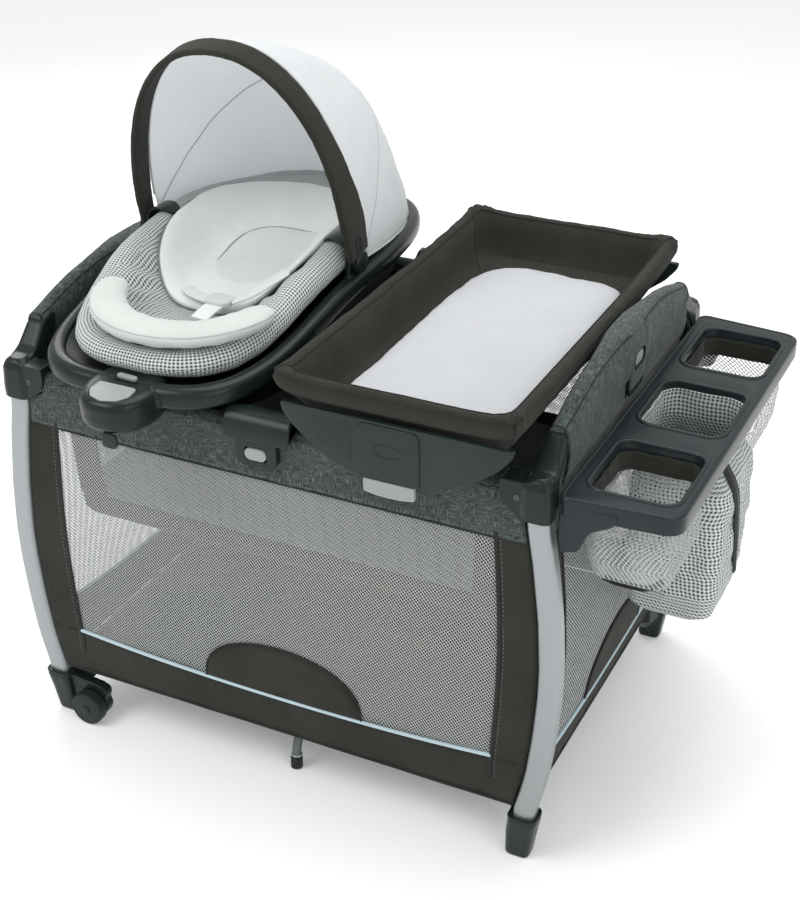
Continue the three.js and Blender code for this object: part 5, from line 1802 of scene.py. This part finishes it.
def bag_points(stations, row_count, mid_y, seed, fold, gather, folds=15):
    """Rows of a hanging bag: fold is the depth of its creases, gather that of the pleats."""
    count = 132
    table = np.array(stations, float)
    lengths = path_lengths(table[:, [1, 3]])
    places = np.linspace(0, lengths[-1], row_count)
    rows = []
    for place in places:
        mid_x, half_x, half_y, z = (np.interp(place, lengths, table[:, k]) for k in range(4))
        outline = rounded_rect(half_x, half_y, min(26, half_x * 0.6), 8, mid_x, mid_y)
        rows.append(even_loop(densify(outline, 6), z, count))
    rows = np.array(rows)
    crease = lumps(rows, 46, seed)
    outward = rows - rows.mean(1)[:, None]
    outward[..., 2] = 0
    outward /= np.linalg.norm(outward, axis=2)[..., None] + 1e-9
    top, bottom = table[0, 3], table[-1, 3]
    down = (top - rows[..., 2]) / (top - bottom)
    angle = turn(count)
    pleat = np.sin(angle * folds + 1.5 * np.sin(angle * 3))
    depth = (fold * crease * np.clip(down * 4, 0, 1) * (1 - down ** 6)
             + gather * pleat * np.exp(-((down - 0.04) / 0.10) ** 2))
    return rows + outward * depth[..., None]


def side_bag(tag, mid_y, seed):
    """A net bag with a cloth top and a strap below."""
    name = f"organizer_bag_{tag}"
    rows = bag_points(SIDE_BAG, 40, mid_y, seed, fold=3.2, gather=1.2)
    cloth_rows = 7
    bag = surface(f"{name}_net", rows[cloth_rows - 1:], "net_bag", wrap=True, caps=False)
    attach(thick(bag, 0.6), "organizer", name)
    cloth = rows[:cloth_rows]
    cloth = cloth + (cloth.mean(1)[:, None] - cloth) * vec(0.02, 0.02, 0)
    band = surface(f"{name}_binding", cloth, "dark", wrap=True, caps=False)
    attach(thick(band, 1.8), "organizer", name)
    knots = vec((-40, -58, 548), (-10, -62, 546.5), (30, -60, 548), (52, -50, 560))
    strap(f"{name}_strap", knots + vec(ORGANIZER_X, mid_y, 0), 16, 2.4, "binding", "organizer")


def middle_bag():
    """The deep cloth bag, with a dark slanting band and, over it, a narrower strip of painted
    shade.
    """
    rows = bag_points(MIDDLE_BAG, 60, 0, 47.0, fold=4.6, gather=1.6, folds=11)
    bag = surface("organizer_bag_middle_cloth", rows, "gingham_bag", wrap=True, caps=False)
    attach(thick(bag, 1.6), "organizer", "organizer_bag_middle")
    attach(bead("organizer_bag_middle_hem", rows[0] + vec(0, 0, -1.0), 2.6, "gingham_bag"),
           "organizer")
    flat = rows.reshape(-1, 3)

    def outermost_x(y, z):
        distance = np.abs(flat[:, 1] - y) + np.abs(flat[:, 2] - z)
        return flat[distance < np.partition(distance, 60)[60], 0].max()

    zs = np.linspace(672, 414, 34)
    ys = np.interp(zs, [414, 672], [20, -66])
    xs = blur([outermost_x(y, z) for y, z in zip(ys, zs)], 9, reach=0) + 1.6
    taper = np.sin(pi * np.linspace(0.06, 0.94, 34)) ** 0.35
    # the narrower black strip is painted shade, standing for the dark inside of the slit
    for tag, half_width, out, finish in (("band", 13.0, 0.0, "binding"),
                                         ("painted_gap_shade", 5.0, 1.2, "black")):
        profile = [rounded_rect(half_width * k, 1.2, 1.0, 3) for k in taper]
        attach(sweep(f"organizer_slit_{tag}", points(xs + out, ys, zs), profile, finish, up=X),
               "organizer")


side_bag("front", -230, 41.0)
side_bag("back", 230, 43.0)
middle_bag()


# ------------------------------------------------------------------ stage
def studio_floor():
    bpy.ops.mesh.primitive_plane_add(size=30, location=(0, 0, 0))
    floor = bpy.context.object
    floor.name = "studio_floor"
    mat = Shader("studio_floor")
    body = mat.pbr((0.93, 0.93, 0.93, 1), 0.9, spec=0.1)
    glow = mat.node("ShaderNodeEmission")
    glow.inputs["Color"].default_value = (1, 1, 1, 1)
    glow.inputs["Strength"].default_value = 0.16
    both = mat.node("ShaderNodeAddShader")
    mat.feed(both.inputs[0], body)
    mat.feed(both.inputs[1], glow.outputs[0])
    floor.data.materials.append(mat.out(both.outputs[0]))


def studio_world():
    """Grey light on the yard, pure white behind it."""
    world = bpy.data.worlds.new("studio")
    bpy.context.scene.world = world
    world.use_nodes = True
    tree = world.node_tree
    tree.nodes.clear()
    backgrounds = []
    for color, strength in (((0.84, 0.84, 0.84, 1), 0.88), ((1, 1, 1, 1), 1.0)):
        background = tree.nodes.new("ShaderNodeBackground")
        background.inputs["Color"].default_value = color
        background.inputs["Strength"].default_value = strength
        backgrounds.append(background)
    light_path = tree.nodes.new("ShaderNodeLightPath")
    mix = tree.nodes.new("ShaderNodeMixShader")
    output = tree.nodes.new("ShaderNodeOutputWorld")
    tree.links.new(light_path.outputs["Is Camera Ray"], mix.inputs[0])
    tree.links.new(backgrounds[0].outputs[0], mix.inputs[1])
    tree.links.new(backgrounds[1].outputs[0], mix.inputs[2])
    tree.links.new(mix.outputs[0], output.inputs[0])


def area_light(name, place, size, power, color=(1, 1, 1)):
    """A square lamp aimed at the middle of the yard; metres and watts."""
    lamp = bpy.data.lights.new(name, "AREA")
    lamp.shape = "SQUARE"
    lamp.size = size
    lamp.energy = power
    lamp.color = color
    obj = bpy.data.objects.new(name, lamp)
    obj.location = place
    aim = Vector((0, 0, 0.6)) - Vector(place)
    obj.rotation_mode = "QUATERNION"
    obj.rotation_quaternion = aim.to_track_quat("-Z", "Y")
    COL.objects.link(obj)


def camera(place, yaw, pitch, roll):
    """yaw turns from +y towards +x; angles in degrees, place in metres."""
    data = bpy.data.cameras.new("camera")
    data.lens = 64.2
    data.sensor_width = 36
    data.sensor_fit = "AUTO"
    obj = bpy.data.objects.new("camera", data)
    COL.objects.link(obj)
    yaw, pitch, roll = (math.radians(angle) for angle in (yaw, pitch, roll))
    look = Vector((math.cos(pitch) * math.sin(yaw), math.cos(pitch) * math.cos(yaw),
                   math.sin(pitch)))
    level = Vector((math.cos(yaw), -math.sin(yaw), 0))
    upright = level.cross(look)
    right = level * math.cos(roll) + upright * math.sin(roll)
    top = -level * math.sin(roll) + upright * math.cos(roll)
    rows = [(right[k], top[k], -look[k], place[k]) for k in range(3)]
    obj.matrix_world = Matrix((*rows, (0, 0, 0, 1)))
    data.clip_start, data.clip_end = 0.05, 60
    bpy.context.scene.camera = obj


studio_floor()
studio_world()
area_light("key", (-1.6, -2.2, 3.2), size=1.8, power=46)
area_light("fill", (2.8, -1.8, 2.2), size=2.2, power=24, color=(0.97, 0.99, 1))
area_light("top", (0.2, 0.8, 3.6), size=2.6, power=52)
area_light("rim", (-2.6, 2.4, 2.4), size=1.6, power=26)
camera((1.199, -2.282, 1.928), yaw=-26.33, pitch=-29.11, roll=-0.51)
bpy.context.scene.view_settings.view_transform = "Standard"
